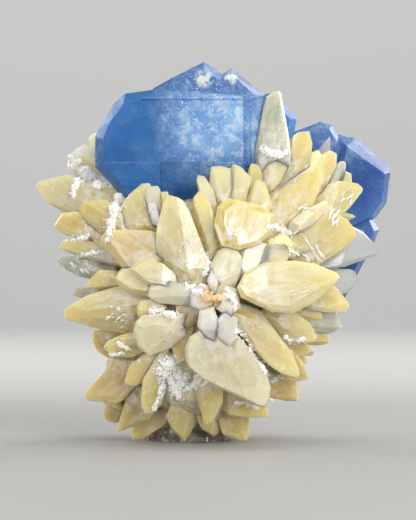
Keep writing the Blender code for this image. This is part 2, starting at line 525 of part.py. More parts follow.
def back_crystals():
    """The crystals of the back, which lean along the shell and away from the front."""
    chance = random.Random(BACK_SEED)
    made = []
    for number in range(BACK_COUNT):
        back = 1 - (1 - BACK_FRONT_LIMIT) * (number + 0.5) / BACK_COUNT
        turn = number * GOLDEN_ANGLE + chance.uniform(-BACK_TURN, BACK_TURN)
        ring = math.sqrt(1 - back * back)
        outward = Vector((ring * math.cos(turn), back, ring * math.sin(turn)))
        length = chance.uniform(*BACK_LENGTH)
        width = chance.uniform(*BACK_WIDTH)
        place = BACK_SHELL_CENTRE + outward * BACK_SHELL_RADII
        away = (place - HEART).normalized()
        along_shell = (away - BACK * away.y * (1 - BACK_OUTWARD)).normalized()
        sideways = UP.cross(away) * chance.uniform(-BACK_SWING, BACK_SWING)
        for bend in BACK_BENDS:
            axis = (along_shell + sideways + BACK * bend).normalized()
            across = axis.cross(away).normalized()
            girdle = rule_girdle(place, axis, across, length, width)
            if inside_outline(girdle[RULE_TIP]):
                break
        else:
            continue
        facing = across.cross(axis).normalized()
        if facing.dot(away) < 0:
            facing.negate()
        if min(point.z for point in girdle) > LOWEST_TIP:
            made.append(rule_crystal(girdle, facing, width))
    return made


def band_crystals():
    """The crystals of both sides, whose tips reach almost to the outline of the front view."""
    chance = random.Random(BAND_SEED)
    made = []
    for side, limit in ((-1, LEFT_LIMIT), (1, RIGHT_LIMIT)):
        for row, depth in enumerate(BAND_DEPTHS):
            for height in BAND_HEIGHTS:
                length = chance.uniform(*BAND_LENGTH)
                width = chance.uniform(*BAND_WIDTH)
                z = height + BAND_STAGGER * (row % 2) + chance.uniform(-BAND_JITTER, BAND_JITTER)
                reach = between(limit, z) - OUTLINE_MARGIN - chance.uniform(0, BAND_SHORTEST)
                tip = Vector((side * reach, depth + chance.uniform(-BAND_JITTER, BAND_JITTER), z))
                root = BAND_ROOT + UP * (z - BAND_ROOT.z) * BAND_RISE
                axis = (tip - root).normalized()
                roll = chance.uniform(0, math.pi)
                facing = UP * math.cos(roll) + BACK * math.sin(roll)
                facing = (facing - axis * facing.dot(axis)).normalized()
                across = axis.cross(facing)
                place = tip - axis * length * RULE_OUTLINE[RULE_TIP][1]
                girdle = rule_girdle(place, axis, across, length, width)
                made.append(rule_crystal(girdle, facing, width))
    return made


def hem_crystals():
    """The crystals that hide the foot, pointing outwards and a little down."""
    chance = random.Random(HEM_SEED)
    made = []
    for number in range(HEM_COUNT):
        share = number / (HEM_COUNT - 1)
        turn = HEM_FROM + (HEM_TO - HEM_FROM) * share + chance.uniform(-HEM_TURN, HEM_TURN)
        length = chance.uniform(*HEM_LENGTH)
        width = chance.uniform(*HEM_WIDTH)
        outward = Vector((math.cos(turn), math.sin(turn), 0.0))
        reach = outward * Vector((FOOT_RADII[0] - HEM_INSET, FOOT_RADII[1] - HEM_INSET, 0.0))
        place = Vector((*FOOT_CENTRE, HEM_HEIGHTS[number % len(HEM_HEIGHTS)])) + reach
        axis = (outward - UP * chance.uniform(*HEM_DROP)).normalized()
        across = axis.cross(UP).normalized()
        facing = across.cross(axis).normalized()
        for share in HEM_SHARES:
            girdle = rule_girdle(place, axis, across, length * share, width * share)
            lowest = min(point.z for point in girdle)
            girdle = [point + UP * max(0.0, LOWEST_TIP - lowest) for point in girdle]
            if inside_outline(girdle[RULE_TIP]):
                made.append(rule_crystal(girdle, facing, width * share))
                break
    return made


def lump(centre, radii, chance):
    """A rounded, rough block of massive calcite."""
    solid = bmesh.new()
    bmesh.ops.create_icosphere(solid, subdivisions=LUMP_DETAIL, radius=1.0)
    for corner in solid.verts:
        swell = 1 + chance.uniform(-LUMP_ROUGHNESS, LUMP_ROUGHNESS)
        corner.co = Vector(centre) + corner.co * Vector(radii) * swell
    return solid


def foot():
    """The broken matrix below the crystals, cut off flat at Z = 0."""
    chance = random.Random(FOOT_SEED)
    points = []
    for number in range(FOOT_SIDES):
        turn = 2 * math.pi * number / FOOT_SIDES
        for radii, height in ((FOOT_RADII, 0.0), (FOOT_TOP_RADII, FOOT_TOP)):
            share = 1 + chance.uniform(-FOOT_ROUGHNESS, FOOT_ROUGHNESS)
            across = radii[0] * math.cos(turn) * share
            deep = radii[1] * math.sin(turn) * share
            points.append(Vector((FOOT_CENTRE[0] + across, FOOT_CENTRE[1] + deep, height)))
    return hull(points)


def celestite_block(rings, grow=0.0):
    """One block of a celestite crystal: a convex solid on its tables and its girdle, grown outwards."""
    points = [Vector((x, depth, z)) for depth, outline in rings for x, z in outline]
    shape = hull(points)
    if grow == 0.0:
        return shape
    middle = sum(points, Vector()) / len(points)
    planes = [(face.verts[0].co.copy(), face.normal.copy()) for face in shape.faces]
    shape.free()
    return hull(cut_block(planes, middle, grow))


def join_all(name, collection, finish):
    """One solid from all the shapes of a collection."""
    first = collection.objects[0]
    rest = helper_collection(name + "_rest")
    for item in collection.objects[1:]:
        collection.objects.unlink(item)
        rest.objects.link(item)
    first.name = name
    first.data.materials.append(material(finish))
    joint = first.modifiers.new("Grown together", "BOOLEAN")
    joint.operation = "UNION"
    joint.solver = "EXACT"
    joint.operand_type = "COLLECTION"
    joint.collection = rest
    for item in rest.objects:
        hide_helper(item)
    return first


def subtract(target, collection):
    """Cuts every shape of a collection out of the target."""
    cut = target.modifiers.new("Sockets", "BOOLEAN")
    cut.operation = "DIFFERENCE"
    cut.solver = "EXACT"
    cut.operand_type = "COLLECTION"
    cut.collection = collection
    for item in collection.objects:
        hide_helper(item)


def islands(solid):
    """The connected sets of faces of a mesh."""
    left = set(solid.faces)
    while left:
        found = set()
        frontier = [left.pop()]
        while frontier:
            face = frontier.pop()
            found.add(face)
            for edge in face.edges:
                for neighbour in edge.link_faces:
                    if neighbour in left:
                        left.discard(neighbour)
                        frontier.append(neighbour)
        yield found


def keep_main_body(item):
    """Applies the modifiers and keeps the largest body: loose chips go, and sealed hollows are filled."""
    graph = bpy.context.evaluated_depsgraph_get()
    solid = bmesh.new()
    solid.from_object(item, graph)
    groups = sorted(islands(solid), key=len)
    for group in groups[:-1]:
        bmesh.ops.delete(solid, geom=list(group), context="FACES")
    item.modifiers.clear()
    solid.to_mesh(item.data)
    solid.free()


def build():
    clear_scene()
    clusters = helper_collection("calcite shapes")
    chance = random.Random(LUMP_SEED)
    for number, (centre, radii) in enumerate(LUMPS):
        to_object(lump(centre, radii, chance), f"lump_{number}", clusters)
    to_object(foot(), "foot", clusters)
    for name, form in FRONT_CRYSTALS.items():
        to_object(front_crystal(*form), name, clusters)
    for number, solid in enumerate(back_crystals() + band_crystals() + hem_crystals()):
        to_object(solid, f"rule_{number}", clusters)
    blue = {}
    sockets = {}
    for name, blocks in CELESTITE.items():
        shapes = helper_collection(name + " blocks")
        sockets[name] = helper_collection(name + " sockets")
        for part, rings in blocks.items():
            to_object(celestite_block(rings), f"{name}_{part}", shapes)
            to_object(celestite_block(rings, SOCKET_GAP), f"{name}_{part}_socket", sockets[name])
        blue[name] = join_all(name, shapes, "celestite")
    subtract(blue["celestite_middle"], sockets["celestite_large"])
    calcite = join_all("calcite_cluster", clusters, "calcite")
    for collection in sockets.values():
        subtract(calcite, collection)
    keep_main_body(calcite)


build()
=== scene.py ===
"""Celestite on calcite, finished for its picture.

Three blue celestite crystals stand on a cluster of cream to honey calcite crystals.
Shapes are listed in millimetres and made in metres. The front faces -Y and the foot rests at Z = 0.
A front view point is (x, z): x across, z up.
"""

import math
import random

import bmesh
import bpy
import numpy as np
from mathutils import Matrix, Vector, noise
from mathutils.bvhtree import BVHTree


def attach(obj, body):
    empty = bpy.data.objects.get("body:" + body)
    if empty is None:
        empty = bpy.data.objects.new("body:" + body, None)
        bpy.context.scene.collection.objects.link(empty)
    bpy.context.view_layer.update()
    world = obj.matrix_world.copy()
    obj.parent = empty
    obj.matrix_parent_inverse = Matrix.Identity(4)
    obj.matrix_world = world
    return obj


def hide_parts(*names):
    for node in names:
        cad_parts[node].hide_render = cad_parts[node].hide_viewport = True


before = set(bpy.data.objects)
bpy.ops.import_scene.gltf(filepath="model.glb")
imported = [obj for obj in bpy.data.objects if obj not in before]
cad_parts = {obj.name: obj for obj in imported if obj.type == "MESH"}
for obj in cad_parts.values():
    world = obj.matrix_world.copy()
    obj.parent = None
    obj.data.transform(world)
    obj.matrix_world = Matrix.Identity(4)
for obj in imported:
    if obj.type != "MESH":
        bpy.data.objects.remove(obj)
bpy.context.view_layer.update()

MM = 0.001
UP = Vector((0.0, 0.0, 1.0))
BACK = Vector((0.0, 1.0, 0.0))

# The camera and the studio
CAMERA_TARGET = (-0.0012, -0.015, 0.0546)
CAMERA_DISTANCE = 1.2
CAMERA_HEIGHT_ANGLE = math.radians(1.0)
CAMERA_LENS = 186.4
CAMERA_SENSOR = 24.0

# The dome of crystals, and the point that every crystal grows from
DOME_DEPTH = 34.0
DOME_CENTRE_Z = 46.0
DOME_HALF_WIDTH = 56.0
DOME_HALF_HEIGHT = 58.0
DOME_LEAN = 0.8
HEART = Vector((-2.0, 7.0, 44.0))
ROOT_REACH = 0.35

# How a calcite crystal is cut from its block
BLOCK = 0.16
BACK_SLOPE = math.radians(60)
BACK_CAP_SHARE = 0.8
SPINE_REACH = (0.5, 0.35)
SPINE_FALL = 0.78
RIM_RISE = 0.0004
RIM_STEEPER = math.radians(20)
SHORT_SIDE = 0.075
SHORT_SLOPE = math.radians(56)
TOP_FACE_SHARE = 0.88
TOP_FACE_TILT = 0.5
HUB = Vector((0.0, 0.0, 43.0))
HUB_REACH = 9.0
INNER_REACH = 0.3
INNER_DROP = 1.0
TOPMOST_LIFT = 5.5
RIDGE_ASIDE = 0.5
FRONT_FLATNESS = 0.62
STEP_CHANCE = 0.55
STEP_SHARE = 0.74
STEP_RISE = 0.00014
STEP_ASIDE = 0.5
STEP_AREA = 2e-5
STEP_FACING = 0.7
ROOT_SIZE = 0.0012
SMALL_EDGE = 0.00012
FLAT_ENOUGH = math.radians(1.5)
EDGE_WIDTH = 0.0002
SHARP_EDGE = math.radians(13)
BEVEL_FROM = 0.5
WIDE_FACE = 3e-6
TINT_LIGHTNESS = (0.9, 1.04)
TINT_WARMTH = (0.85, 1.12)


# The outline of the crystals that follow a rule, across and along, as shares of the width and the length
RULE_OUTLINE = ((-0.42, -0.4), (-0.5, 0.1), (0.0, 0.6), (0.42, 0.24), (0.42, -0.4))
RULE_TIP = 2
RULE_HEIGHT_SHARE = 0.24
LOWEST_TIP = 1.0
OUTLINE_MARGIN = 0.6
BACK_REACH = 38.8

# The crystals over the back, spread evenly by the golden angle
BACK_SEED = 21
BACK_COUNT = 110
BACK_FRONT_LIMIT = 0.0
BACK_SHELL_CENTRE = Vector((-2.0, 5.0, 43.0))
BACK_SHELL_RADII = Vector((30.0, 22.0, 41.0))
BACK_LENGTH = (15.0, 26.0)
BACK_WIDTH = (11.0, 17.0)
BACK_OUTWARD = 0.45
BACK_SWING = 0.25
BACK_TURN = 0.2
BACK_BENDS = (0.0, 0.4, 0.8, 1.3)
GOLDEN_ANGLE = math.pi * (3 - math.sqrt(5))

# The crystals down both sides: rows at these depths, from the lowest height up
BAND_SEED = 4
BAND_ROWS = ((-13.5, 45.0), (-4.5, 80.0), (4.5, 80.0))
BAND_HEIGHTS = (12.0, 22.0, 32.0, 42.0, 52.0, 62.0, 72.0)
BAND_STAGGER = 5.0
BAND_JITTER = 1.0
BAND_LENGTH = (18.0, 24.0)
BAND_WIDTH = (12.0, 17.0)
BAND_SHORTEST = 3.0
BAND_ROOT = Vector((-2.0, 4.0, 44.0))
BAND_RISE = 0.6

# The crystals around the foot, from its right side over the back to its left side
HEM_HEIGHTS = (5.5, 10.0)
HEM_DROP = (0.15, 0.4)
HEM_BACK = (8, 13, math.radians(-40), math.radians(225), (11.0, 16.0), (9.0, 12.5))
HEM_FRONT = (9, 11, math.radians(222), math.radians(318), (8.0, 12.0), (5.0, 8.0))
HEM_TURN = 0.06
HEM_INSET = 2.0
HEM_SHARES = (1.0, 0.8, 0.6)

# Half widths of the front view outline at some heights, which nothing on the sides may pass
LEFT_LIMIT = (
    (0, 22), (3, 26), (8, 31), (12, 34), (16, 36), (24, 31.5), (30, 33), (36, 39), (42, 40), (46, 36),
    (50, 39), (56, 43), (60, 42), (70, 42), (76, 45), (80, 42), (85, 38), (92, 34), (95, 26))
RIGHT_LIMIT = (
    (0, 9), (5, 11), (8, 14), (12, 20), (18, 24), (24, 27), (30, 32), (34, 36), (40, 38), (46, 40),
    (52, 41), (58, 44), (85, 44), (95, 34))

# The massive calcite below the crystals: centre, radii
LUMPS = (
    ((-3.0, -1.0, 38.0), (23.0, 24.5, 37.0)),
    ((-2.0, -10.0, 40.0), (25.0, 20.5, 35.0)),
    ((1.0, 8.0, 60.0), (29.0, 14.0, 26.0)),
    ((-22.0, 6.0, 68.0), (15.0, 11.0, 16.0)),
    ((22.0, 3.0, 64.0), (16.0, 12.0, 20.0)),
    ((0.0, -26.0, 45.0), (9.0, 10.0, 9.0)),
    ((-10.0, -19.0, 26.0), (9.0, 9.0, 8.0)),
    ((-16.0, -17.0, 60.0), (12.0, 10.0, 9.0)),
    ((10.0, -20.0, 60.0), (12.0, 9.0, 9.0)),
)
LUMP_ROUGHNESS = 0.0018
LUMP_DETAIL = 4
LUMP_VOXEL = 0.001
SOCKET_GAP = 0.0002
GRAIN_ROUGH_SIZE = 0.0014
GRAIN_ROUGHNESS = 0.0012

# The foot, whose underside is cut flat
FOOT_CENTRE = (-6.5, 7.0)
FOOT_RADII = (14.0, 15.0)
FOOT_TOP = 12.0
FOOT_SIDES = 22


# Calcite crystals of the front: finish, lift towards the front from the dome, height of the face, outline
# and, where the crystal stands straighter than the dome, its share of the dome's lean
FRONT_CRYSTALS = {
    "left_point": ("cream", 1, 3.4, (
        (-53.7, 76.8), (-52.2, 78.3), (-43.8, 80.6), (-35.1, 79.2), (-33.6, 72.6), (-39.6, 68.4),
        (-48, 69), (-51.3, 72.6))),
    "left_back_tall": ("pale", -14, 3.0, (
        (-38.5, 91.5), (-34.2, 93.3), (-26.1, 92.1), (-26.1, 83.1), (-36.6, 83.1), (-38.4, 88.8))),
    "left_back_frosty": ("frosty", -13, 2.6, (
        (-44.1, 81.9), (-43.5, 85.5), (-41.1, 87.9), (-38.7, 89.4), (-34, 87.6), (-34, 80), (-42.6, 80.4))),
    "left_back_blade": ("cream", -7, 2.4, (
        (-41, 85.2), (-39.6, 86.7), (-34.5, 85.8), (-30, 84.6), (-30, 76), (-36.6, 76), (-40.2, 81))),
    "left_shelf": ("cream", -5, 2.6, (
        (-38.4, 75.6), (-33.6, 77.7), (-29.7, 78), (-25.2, 75), (-24, 70.5), (-33.6, 69), (-37.2, 71))),
    "left_broad": ("honey", 3, 3.0, (
        (-41, 70.2), (-38.1, 72.6), (-32.1, 73.2), (-27.5, 69.6), (-28.5, 60.6), (-34.2, 61.2), (-39, 65.4))),
    "left_yellow": ("honey", 1, 3.4, (
        (-47.4, 64.7), (-44.7, 68.6), (-39.6, 69), (-33.6, 66), (-33.6, 59.1), (-42.6, 60.6), (-45.6, 63))),
    "left_middle": ("cream", 1, 3.2, (
        (-46.5, 57.6), (-44.4, 60.3), (-36.6, 61.8), (-27.6, 58), (-27.6, 52.5), (-38.7, 54), (-44.1, 55.5))),
    "left_glassy": ("glassy", -4, 3.6, (
        (-46.6, 54), (-45.9, 55.2), (-43.8, 55.7), (-34, 56), (-33, 49.5), (-39, 48), (-43.2, 50.4),
        (-45.9, 51.9))),
    "left_small": ("honey", 0, 2.2, (
        (-37.8, 47.4), (-33.3, 51.9), (-27, 52), (-27, 46.8), (-32.7, 45.6), (-36.3, 45.6))),
    "left_cube": ("glassy", -7, 1.8, (
        (-42.2, 44.1), (-40.8, 45.9), (-39, 46.4), (-34, 46), (-34, 42.6), (-41.1, 42.9))),
    "arrow": ("amber", 4, 3.6, (
        (-33.9, 60.9), (-30.6, 63.6), (-18.6, 64.8), (-16.2, 57.6), (-22, 54.6), (-26.9, 52.3))),
    "tooth_left": ("honey", 3, 3.0, (
        (-28.5, 49.5), (-27, 52.2), (-23.1, 54.9), (-17.5, 53.1), (-17.5, 43.5), (-23.1, 43.4),
        (-28.2, 47.4))),
    "tooth_right": ("cream", 5, 2.8, (
        (-24.3, 52.5), (-21.6, 54.6), (-18, 55.8), (-13, 53), (-13.5, 47), (-18.9, 46.8), (-21.6, 49.2))),
    "long_left": ("honey", 2, 4.2, (
        (-44.7, 38.4), (-43.9, 40.1), (-37.5, 44.6), (-30, 48.2), (-21, 44.4), (-20.4, 38.1),
        (-23.4, 32.4), (-31.2, 30.9), (-38.4, 33.7), (-43.8, 36.9))),
    # left_dark takes the amber finish as painted shade, where it lies in shadow
    "left_dark": ("amber", -7, 2.2, (
        (-35.7, 30.6), (-35.4, 33.5), (-29, 33.5), (-28, 24.6), (-32.4, 25), (-34.5, 27.4))),
    "left_low": ("honey", 2, 2.8, (
        (-32.1, 28.8), (-31.2, 30.6), (-27.6, 32.4), (-20, 32.6), (-19.4, 27), (-26.1, 24.4), (-29.1, 25.4))),
    "knob": ("pale", 4, 3.6, (
        (-23.3, 33.6), (-22.5, 36.6), (-20.7, 38.7), (-15.6, 39), (-10.8, 36.6), (-10.2, 31.5),
        (-13.6, 27.2), (-18.6, 26.8), (-21.8, 29.4))),
    "tan_chip": ("honey", 2, 1.8, (
        (-22.2, 41.1), (-21.3, 42.9), (-18, 43.6), (-15.6, 40.5), (-18.6, 37.9), (-21.9, 38.2))),
    "oval": ("pale", 4, 3.2, (
        (-18.9, 44.6), (-18, 47.7), (-13.8, 49.2), (-9.6, 48.6), (-5.6, 46.2), (-5.8, 41.6), (-12, 40.8),
        (-17.1, 41.8))),
    "foot_pair_left": ("cream", 1, 3.0, (
        (-24.3, 74.4), (-20.7, 77.4), (-18.4, 77.4), (-16.5, 72.6), (-17, 63), (-27.6, 62.6), (-28.2, 69))),
    "foot_pair_right": ("pale", 2, 2.2, (
        (-18.9, 76.6), (-16, 77), (-15.3, 75.9), (-15, 66), (-19.2, 64), (-20.7, 72))),
    "foot_chip": ("frosty", 4, 1.2, (
        (-19.1, 71.4), (-16.8, 71.6), (-16, 69), (-16, 65), (-18.2, 66))),
    "tall_shade": ("honey", 2, 1.6, (
        (-16, 73.8), (-15.3, 75), (-13, 75), (-12.6, 68), (-15.8, 68))),
    "tall_left": ("tan", 5, 4.0, (
        (-13, 74.4), (-8.4, 73), (-6, 69.6), (-2, 59), (-2, 53), (-7, 47.6), (-12, 48), (-16, 51.2),
        (-18.3, 55.8), (-17.6, 60), (-16.4, 66), (-14.8, 71.6))),
    "tall_right": ("honey", 3, 3.2, (
        (-3.6, 76), (-1.6, 73.8), (2, 66), (3, 59), (-2, 57), (-5.4, 63.6), (-7.2, 69.3), (-5.6, 73.8))),
    "peg": ("pale", 1, 1.6, (
        (-4.6, 79.2), (-4.2, 80.1), (-2.1, 79.8), (0.6, 75.6), (2.2, 70), (-1.4, 69.4), (-4.2, 75))),
    "collar_left": ("cream", 1, 2.8, (
        (-0.6, 82.5), (2.7, 82.5), (6, 81.6), (8, 74.1), (4, 69.7), (0.2, 73.6), (-1.4, 79.2))),
    "collar_right": ("cream", 2, 3.0, (
        (4.6, 82.3), (6.2, 83.2), (8.6, 82.2), (11.7, 78.9), (11, 75.6), (8.4, 70.4), (3, 70.4),
        (2.6, 78.6))),
    "collar_tip": ("honey", -1, 2.0, (
        (10.2, 81.3), (11.7, 83.6), (13.8, 82.8), (15.6, 79.2), (15, 73), (10.4, 76))),
    "collar_grey": ("glassy", -6, 2.2, (
        (11, 84), (14.1, 88.2), (17.2, 87.6), (17.6, 81), (12.4, 80.5))),
    "lens": ("dark honey", 7, 2.4, (
        (4.8, 73), (8.7, 72.2), (15, 70.6), (18.3, 67.8), (17.6, 63), (13.5, 59.7), (7.8, 58), (2.7, 59.4),
        (0.6, 65.4), (1.5, 70.6))),
    "pillar": ("cream", 2, 2.4, (
        (10.2, 75.6), (13.2, 78.6), (15.6, 77.6), (17.8, 71.1), (16, 67.5), (9, 68.5))),
    "bun": ("cream", 2, 3.0, (
        (15.3, 82.4), (16.8, 85.6), (19.2, 87.3), (23.7, 85.5), (24.5, 83.4), (22.8, 79.8), (18, 77.6),
        (15.6, 79))),
    "tower": ("smoky", 10, 3.0, (
        (16, 102.9), (18, 104.6), (19.7, 105), (20.7, 104.2), (21.4, 100.5), (22.8, 91), (22.6, 80),
        (14, 80), (13.9, 91), (15.2, 99)), 0.2),
    "crest_left": ("honey", 4, 3.0, (
        (22.4, 90.9), (25.8, 92.7), (29.1, 93.1), (30, 89.1), (29.4, 80), (20.8, 80), (21.2, 87.6))),
    "crest_right": ("glassy", 1, 3.0, (
        (29, 93.1), (32.4, 93.6), (34.7, 93.1), (35.4, 91.5), (35.4, 86), (33, 78), (28, 78))),
    "honey": ("bright honey", 4, 4.2, (
        (22.5, 83.4), (29.7, 88.5), (32, 89.1), (33.2, 87.9), (34.2, 78.6), (31.8, 71.6), (24.9, 66.6),
        (18.6, 65.4), (16.9, 71.4), (17.1, 77))),
    "notch_upper": ("honey", 2, 2.2, (
        (33, 86.9), (35.4, 87.2), (37.4, 86.2), (37.2, 83), (36, 77), (31.5, 75.6), (31, 83))),
    "notch_glassy": ("glassy", 1, 1.8, (
        (36.6, 82.8), (37.8, 84), (39.6, 84.1), (40.2, 83.2), (39.6, 79), (38.1, 74.6), (34.4, 75.6))),
    "notch_lower": ("honey", 1, 1.6, (
        (38.7, 80.4), (39.6, 81.1), (41.7, 80.4), (41.9, 77.4), (39.9, 73.6), (37, 74.6))),
    "striped": ("honey", 3, 3.4, (
        (36.6, 79.1), (39.3, 78.6), (43.5, 77.6), (45.1, 75.8), (45, 74.9), (42, 71.2), (39, 67.6),
        (32.4, 66.6), (30, 71), (32.4, 78.4))),
    "glint_tooth": ("cream", 5, 2.6, (
        (24, 67.2), (29.4, 71.9), (33.8, 73), (34.4, 71.1), (33.6, 69), (29.4, 64.6), (23.4, 63.6))),
    "right_amber": ("honey", 3, 4.0, (
        (44.7, 61.1), (42.6, 64.4), (40.4, 67), (33.9, 70.2), (26.4, 66.4), (24, 58.2), (28.5, 53.4),
        (32.4, 51.8), (35.6, 52.6), (41.2, 58.6))),
    "right_pale": ("cream", 3, 2.8, (
        (21.3, 63.6), (25.5, 66.6), (31.4, 66.3), (31.9, 60.6), (27.4, 56.4), (22, 58.7))),
    "right_glassy": ("clear", -3, 3.4, (
        (50.2, 56.9), (49, 58.9), (45.2, 63), (41.4, 64.9), (35, 61.6), (34, 54), (41.4, 52.9),
        (46.5, 54.2), (49.6, 55.4))),
    "right_clear": ("clear", -6, 2.6, (
        (42.5, 51.4), (43.6, 48.9), (42.2, 46), (39.8, 44.5), (34, 44.6), (33, 51.6), (38, 53))),
    "wing": ("cream", 7, 3.6, (
        (37.6, 49.5), (36.6, 51.2), (29.7, 54), (23.7, 54.8), (15, 54.2), (9.6, 51.6), (7.2, 47.1),
        (8.4, 44.2), (12.9, 41.9), (17.4, 39.9), (23.4, 39.3), (30, 42.3), (34.8, 46.2))),
    "wing_under": ("honey", 1, 3.2, (
        (37, 50.5), (39.3, 45.2), (40.8, 40.8), (39.8, 39.4), (33.9, 39), (28, 41), (29, 50))),
    "right_tan": ("honey", -1, 2.2, (
        (32.9, 37.2), (31.6, 41.9), (25.4, 42), (24, 36.5), (29.4, 35.4))),
    "right_clear_low": ("glassy", -4, 3.0, (
        (38.9, 33.3), (38.6, 35), (37.2, 39), (32, 41), (27, 38), (28, 31.6), (36.9, 31.7))),
    "right_step_a": ("amber", -6, 1.8, (
        (35.3, 29.4), (34.8, 32.4), (28, 33), (27, 28), (34.2, 28.5))),
    "right_step_b": ("amber", -4, 1.8, (
        (30.9, 25.8), (30.3, 28), (25, 30), (24, 25))),
    "right_step_c": ("amber", -3, 1.6, (
        (28.4, 23.3), (28.5, 25.6), (24, 28.5), (22.5, 23.6))),
    "right_step_d": ("amber", -1, 1.8, (
        (29.4, 30.4), (29.1, 26.7), (25.2, 25.6), (21, 29.1), (22.4, 32.4))),
    "petal_right": ("cream", 2, 2.6, (
        (31.1, 30.7), (31.3, 32.1), (28.8, 36.2), (25.8, 39), (20.4, 40.6), (17, 38), (20, 32.6),
        (23.6, 30), (27.9, 30))),
    "long_right": ("cream", 5, 3.2, (
        (26.4, 20.8), (25.2, 19.7), (20.4, 21), (15, 24.6), (9.5, 31.6), (6.6, 39), (7.8, 44.6),
        (13.4, 43.4), (18.4, 38.6), (22, 32.1), (24.6, 27))),
    "low_amber": ("amber", 0, 2.6, (
        (28.9, 19.2), (27.4, 23.6), (24.4, 28.4), (19, 26), (18.6, 18.2), (25.2, 17.9))),
    "low_tan": ("amber", -2, 2.8, (
        (25.8, 12.3), (25.5, 18.2), (20.4, 22), (14, 20), (13.6, 13.2), (24.2, 11.8))),
    "big_lens": ("pale", 6.2, 3.4, (
        (15.9, 11.7), (16.9, 13.8), (17.3, 17.4), (15.9, 22.2), (11.6, 28.4), (7.2, 33.4), (3, 36.2),
        (-2.1, 35.6), (-6.6, 32.6), (-8, 29.1), (-7.7, 25.2), (-0.6, 19.2), (8.4, 14.2), (13.5, 11.7))),
    "under_lens": ("honey", 2, 2.6, (
        (17, 8), (16.4, 12), (8.4, 17), (2, 16), (1.4, 9.4), (11.4, 7.8))),
    "fang": ("honey", 4, 2.8, (
        (-1.3, 5.9), (0.1, 6.6), (3, 12.3), (4.6, 16.4), (0.4, 20.6), (-6.2, 18), (-5.3, 12.6), (-2.7, 6.9))),
    "low_point_left": ("honey", -1, 2.8, (
        (-8, 0.2), (-12, 4.4), (-13.8, 8.1), (-11.6, 12.8), (-4.4, 13.4), (-3.4, 8.1), (-5.6, 3.2))),
    "low_point_middle": ("honey", -1, 2.6, (
        (2.3, 0.2), (-3.2, 4.3), (-5.2, 8.1), (-2.4, 14), (3.6, 13), (3.5, 2.4))),
    "low_point_right": ("honey", -1, 2.8, (
        (10.2, 0.3), (3.2, 2.5), (1, 7.2), (4.2, 12), (11.4, 10.4), (12.2, 5.4), (11.5, 0.8))),
    "low_big": ("honey", 5, 3.8, (
        (-18.8, 6.9), (-20.7, 9), (-21.2, 14.4), (-20.6, 19.2), (-18.6, 24.4), (-13.6, 26.2), (-6.4, 19.2),
        (-5.8, 13), (-9.6, 10.2))),
    "low_small": ("honey", 2, 2.4, (
        (-25.4, 17.7), (-25.9, 19), (-24.5, 23.4), (-20.1, 27), (-15.6, 24.6), (-18.4, 17.5))),
    "low_left": ("amber", 2, 3.4, (
        (-38.7, 12.9), (-38, 16.3), (-33.2, 24), (-30.2, 27.9), (-23.4, 25.6), (-22.4, 17.1),
        (-25.6, 11.4), (-37.7, 11.7))),
    "low_ragged": ("amber", -4, 2.2, (
        (-32.6, 9.3), (-31.5, 11.4), (-25.6, 13), (-24.6, 7), (-28.9, 4.7), (-32.4, 6.8))),
    "low_amber_left": ("amber", 2, 2.8, (
        (-28.4, 3.1), (-28.2, 5.1), (-27.3, 12.2), (-23.1, 16), (-18, 13), (-17.4, 6.4), (-23.4, 3.9),
        (-27, 2.9))),
    "low_wedge": ("amber", -3, 2.2, (
        (-23.9, 0.3), (-24.7, 3), (-23.5, 6), (-18.6, 9), (-12.4, 9.6), (-11.4, 5), (-18.7, 1.2))),
    "centre_petal_left": ("frosty", 7.4, 1.8, (
        (-4.4, 36), (-3.8, 40.2), (0.4, 41.6), (2.2, 36.6), (0.9, 31.2), (-2.3, 32.4))),
    "centre_petal_right": ("frosty", 7.8, 1.6, (
        (1.3, 37.2), (3.9, 40.6), (7.4, 38.2), (7.4, 31.8), (5.1, 29.8), (1.6, 32.4))),
    "centre_petal_top": ("frosty", 7.4, 1.4, (
        (1.3, 40.8), (3.4, 43.6), (6.2, 42), (5.8, 37.4))),
    "centre_blade": ("frosty", 6, 1.6, (
        (-1.5, 49.2), (-0.3, 52.2), (1.8, 48.4), (1.4, 44.4), (-0.5, 45.2))),
    "centre_pale": ("pale", 5, 2.8, (
        (-0.6, 54), (2.2, 58.4), (6.6, 59.4), (9, 55.2), (8.4, 49.4), (3.9, 47.6), (0.7, 49.2))),
    "ledge_pale": ("pale", 5, 2.4, (
        (7.6, 58.8), (12.9, 60.9), (17.6, 59.4), (16.4, 52.4), (10.2, 50.4), (7.6, 53.4))),
    "ledge_cream": ("cream", 5, 2.0, (
        (15.4, 59.6), (21.6, 59.6), (23, 57), (21, 52), (14.4, 52))),
    "ledge_yellow": ("honey", 5, 1.8, (
        (16.4, 61.2), (21, 63.2), (24.8, 59.2), (21.3, 56.4), (17, 58))),
    "centre_bed_left": ("frosty", 5.4, 1.8, (
        (-6.4, 45.6), (-3.4, 48.4), (0.4, 47.2), (1.2, 42.4), (-2.6, 39.8), (-6.2, 41.8))),
    "centre_bed_right": ("pale", 5.6, 1.8, (
        (-0.6, 46.0), (2.8, 48.2), (7.4, 46.6), (8.4, 41.0), (4.4, 38.6), (0.4, 41.0))),
    "gap_brown": ("amber", 1, 1.6, (
        (-12.4, 30), (-10.6, 35), (-6.6, 34.6), (-6.4, 26), (-10.2, 24))),
    "gap_tan": ("amber", 1, 2.0, (
        (-11.6, 35.1), (-10.4, 41.4), (-6.2, 42), (-2.8, 39.3), (-5.4, 34.6), (-9.3, 33))),
}
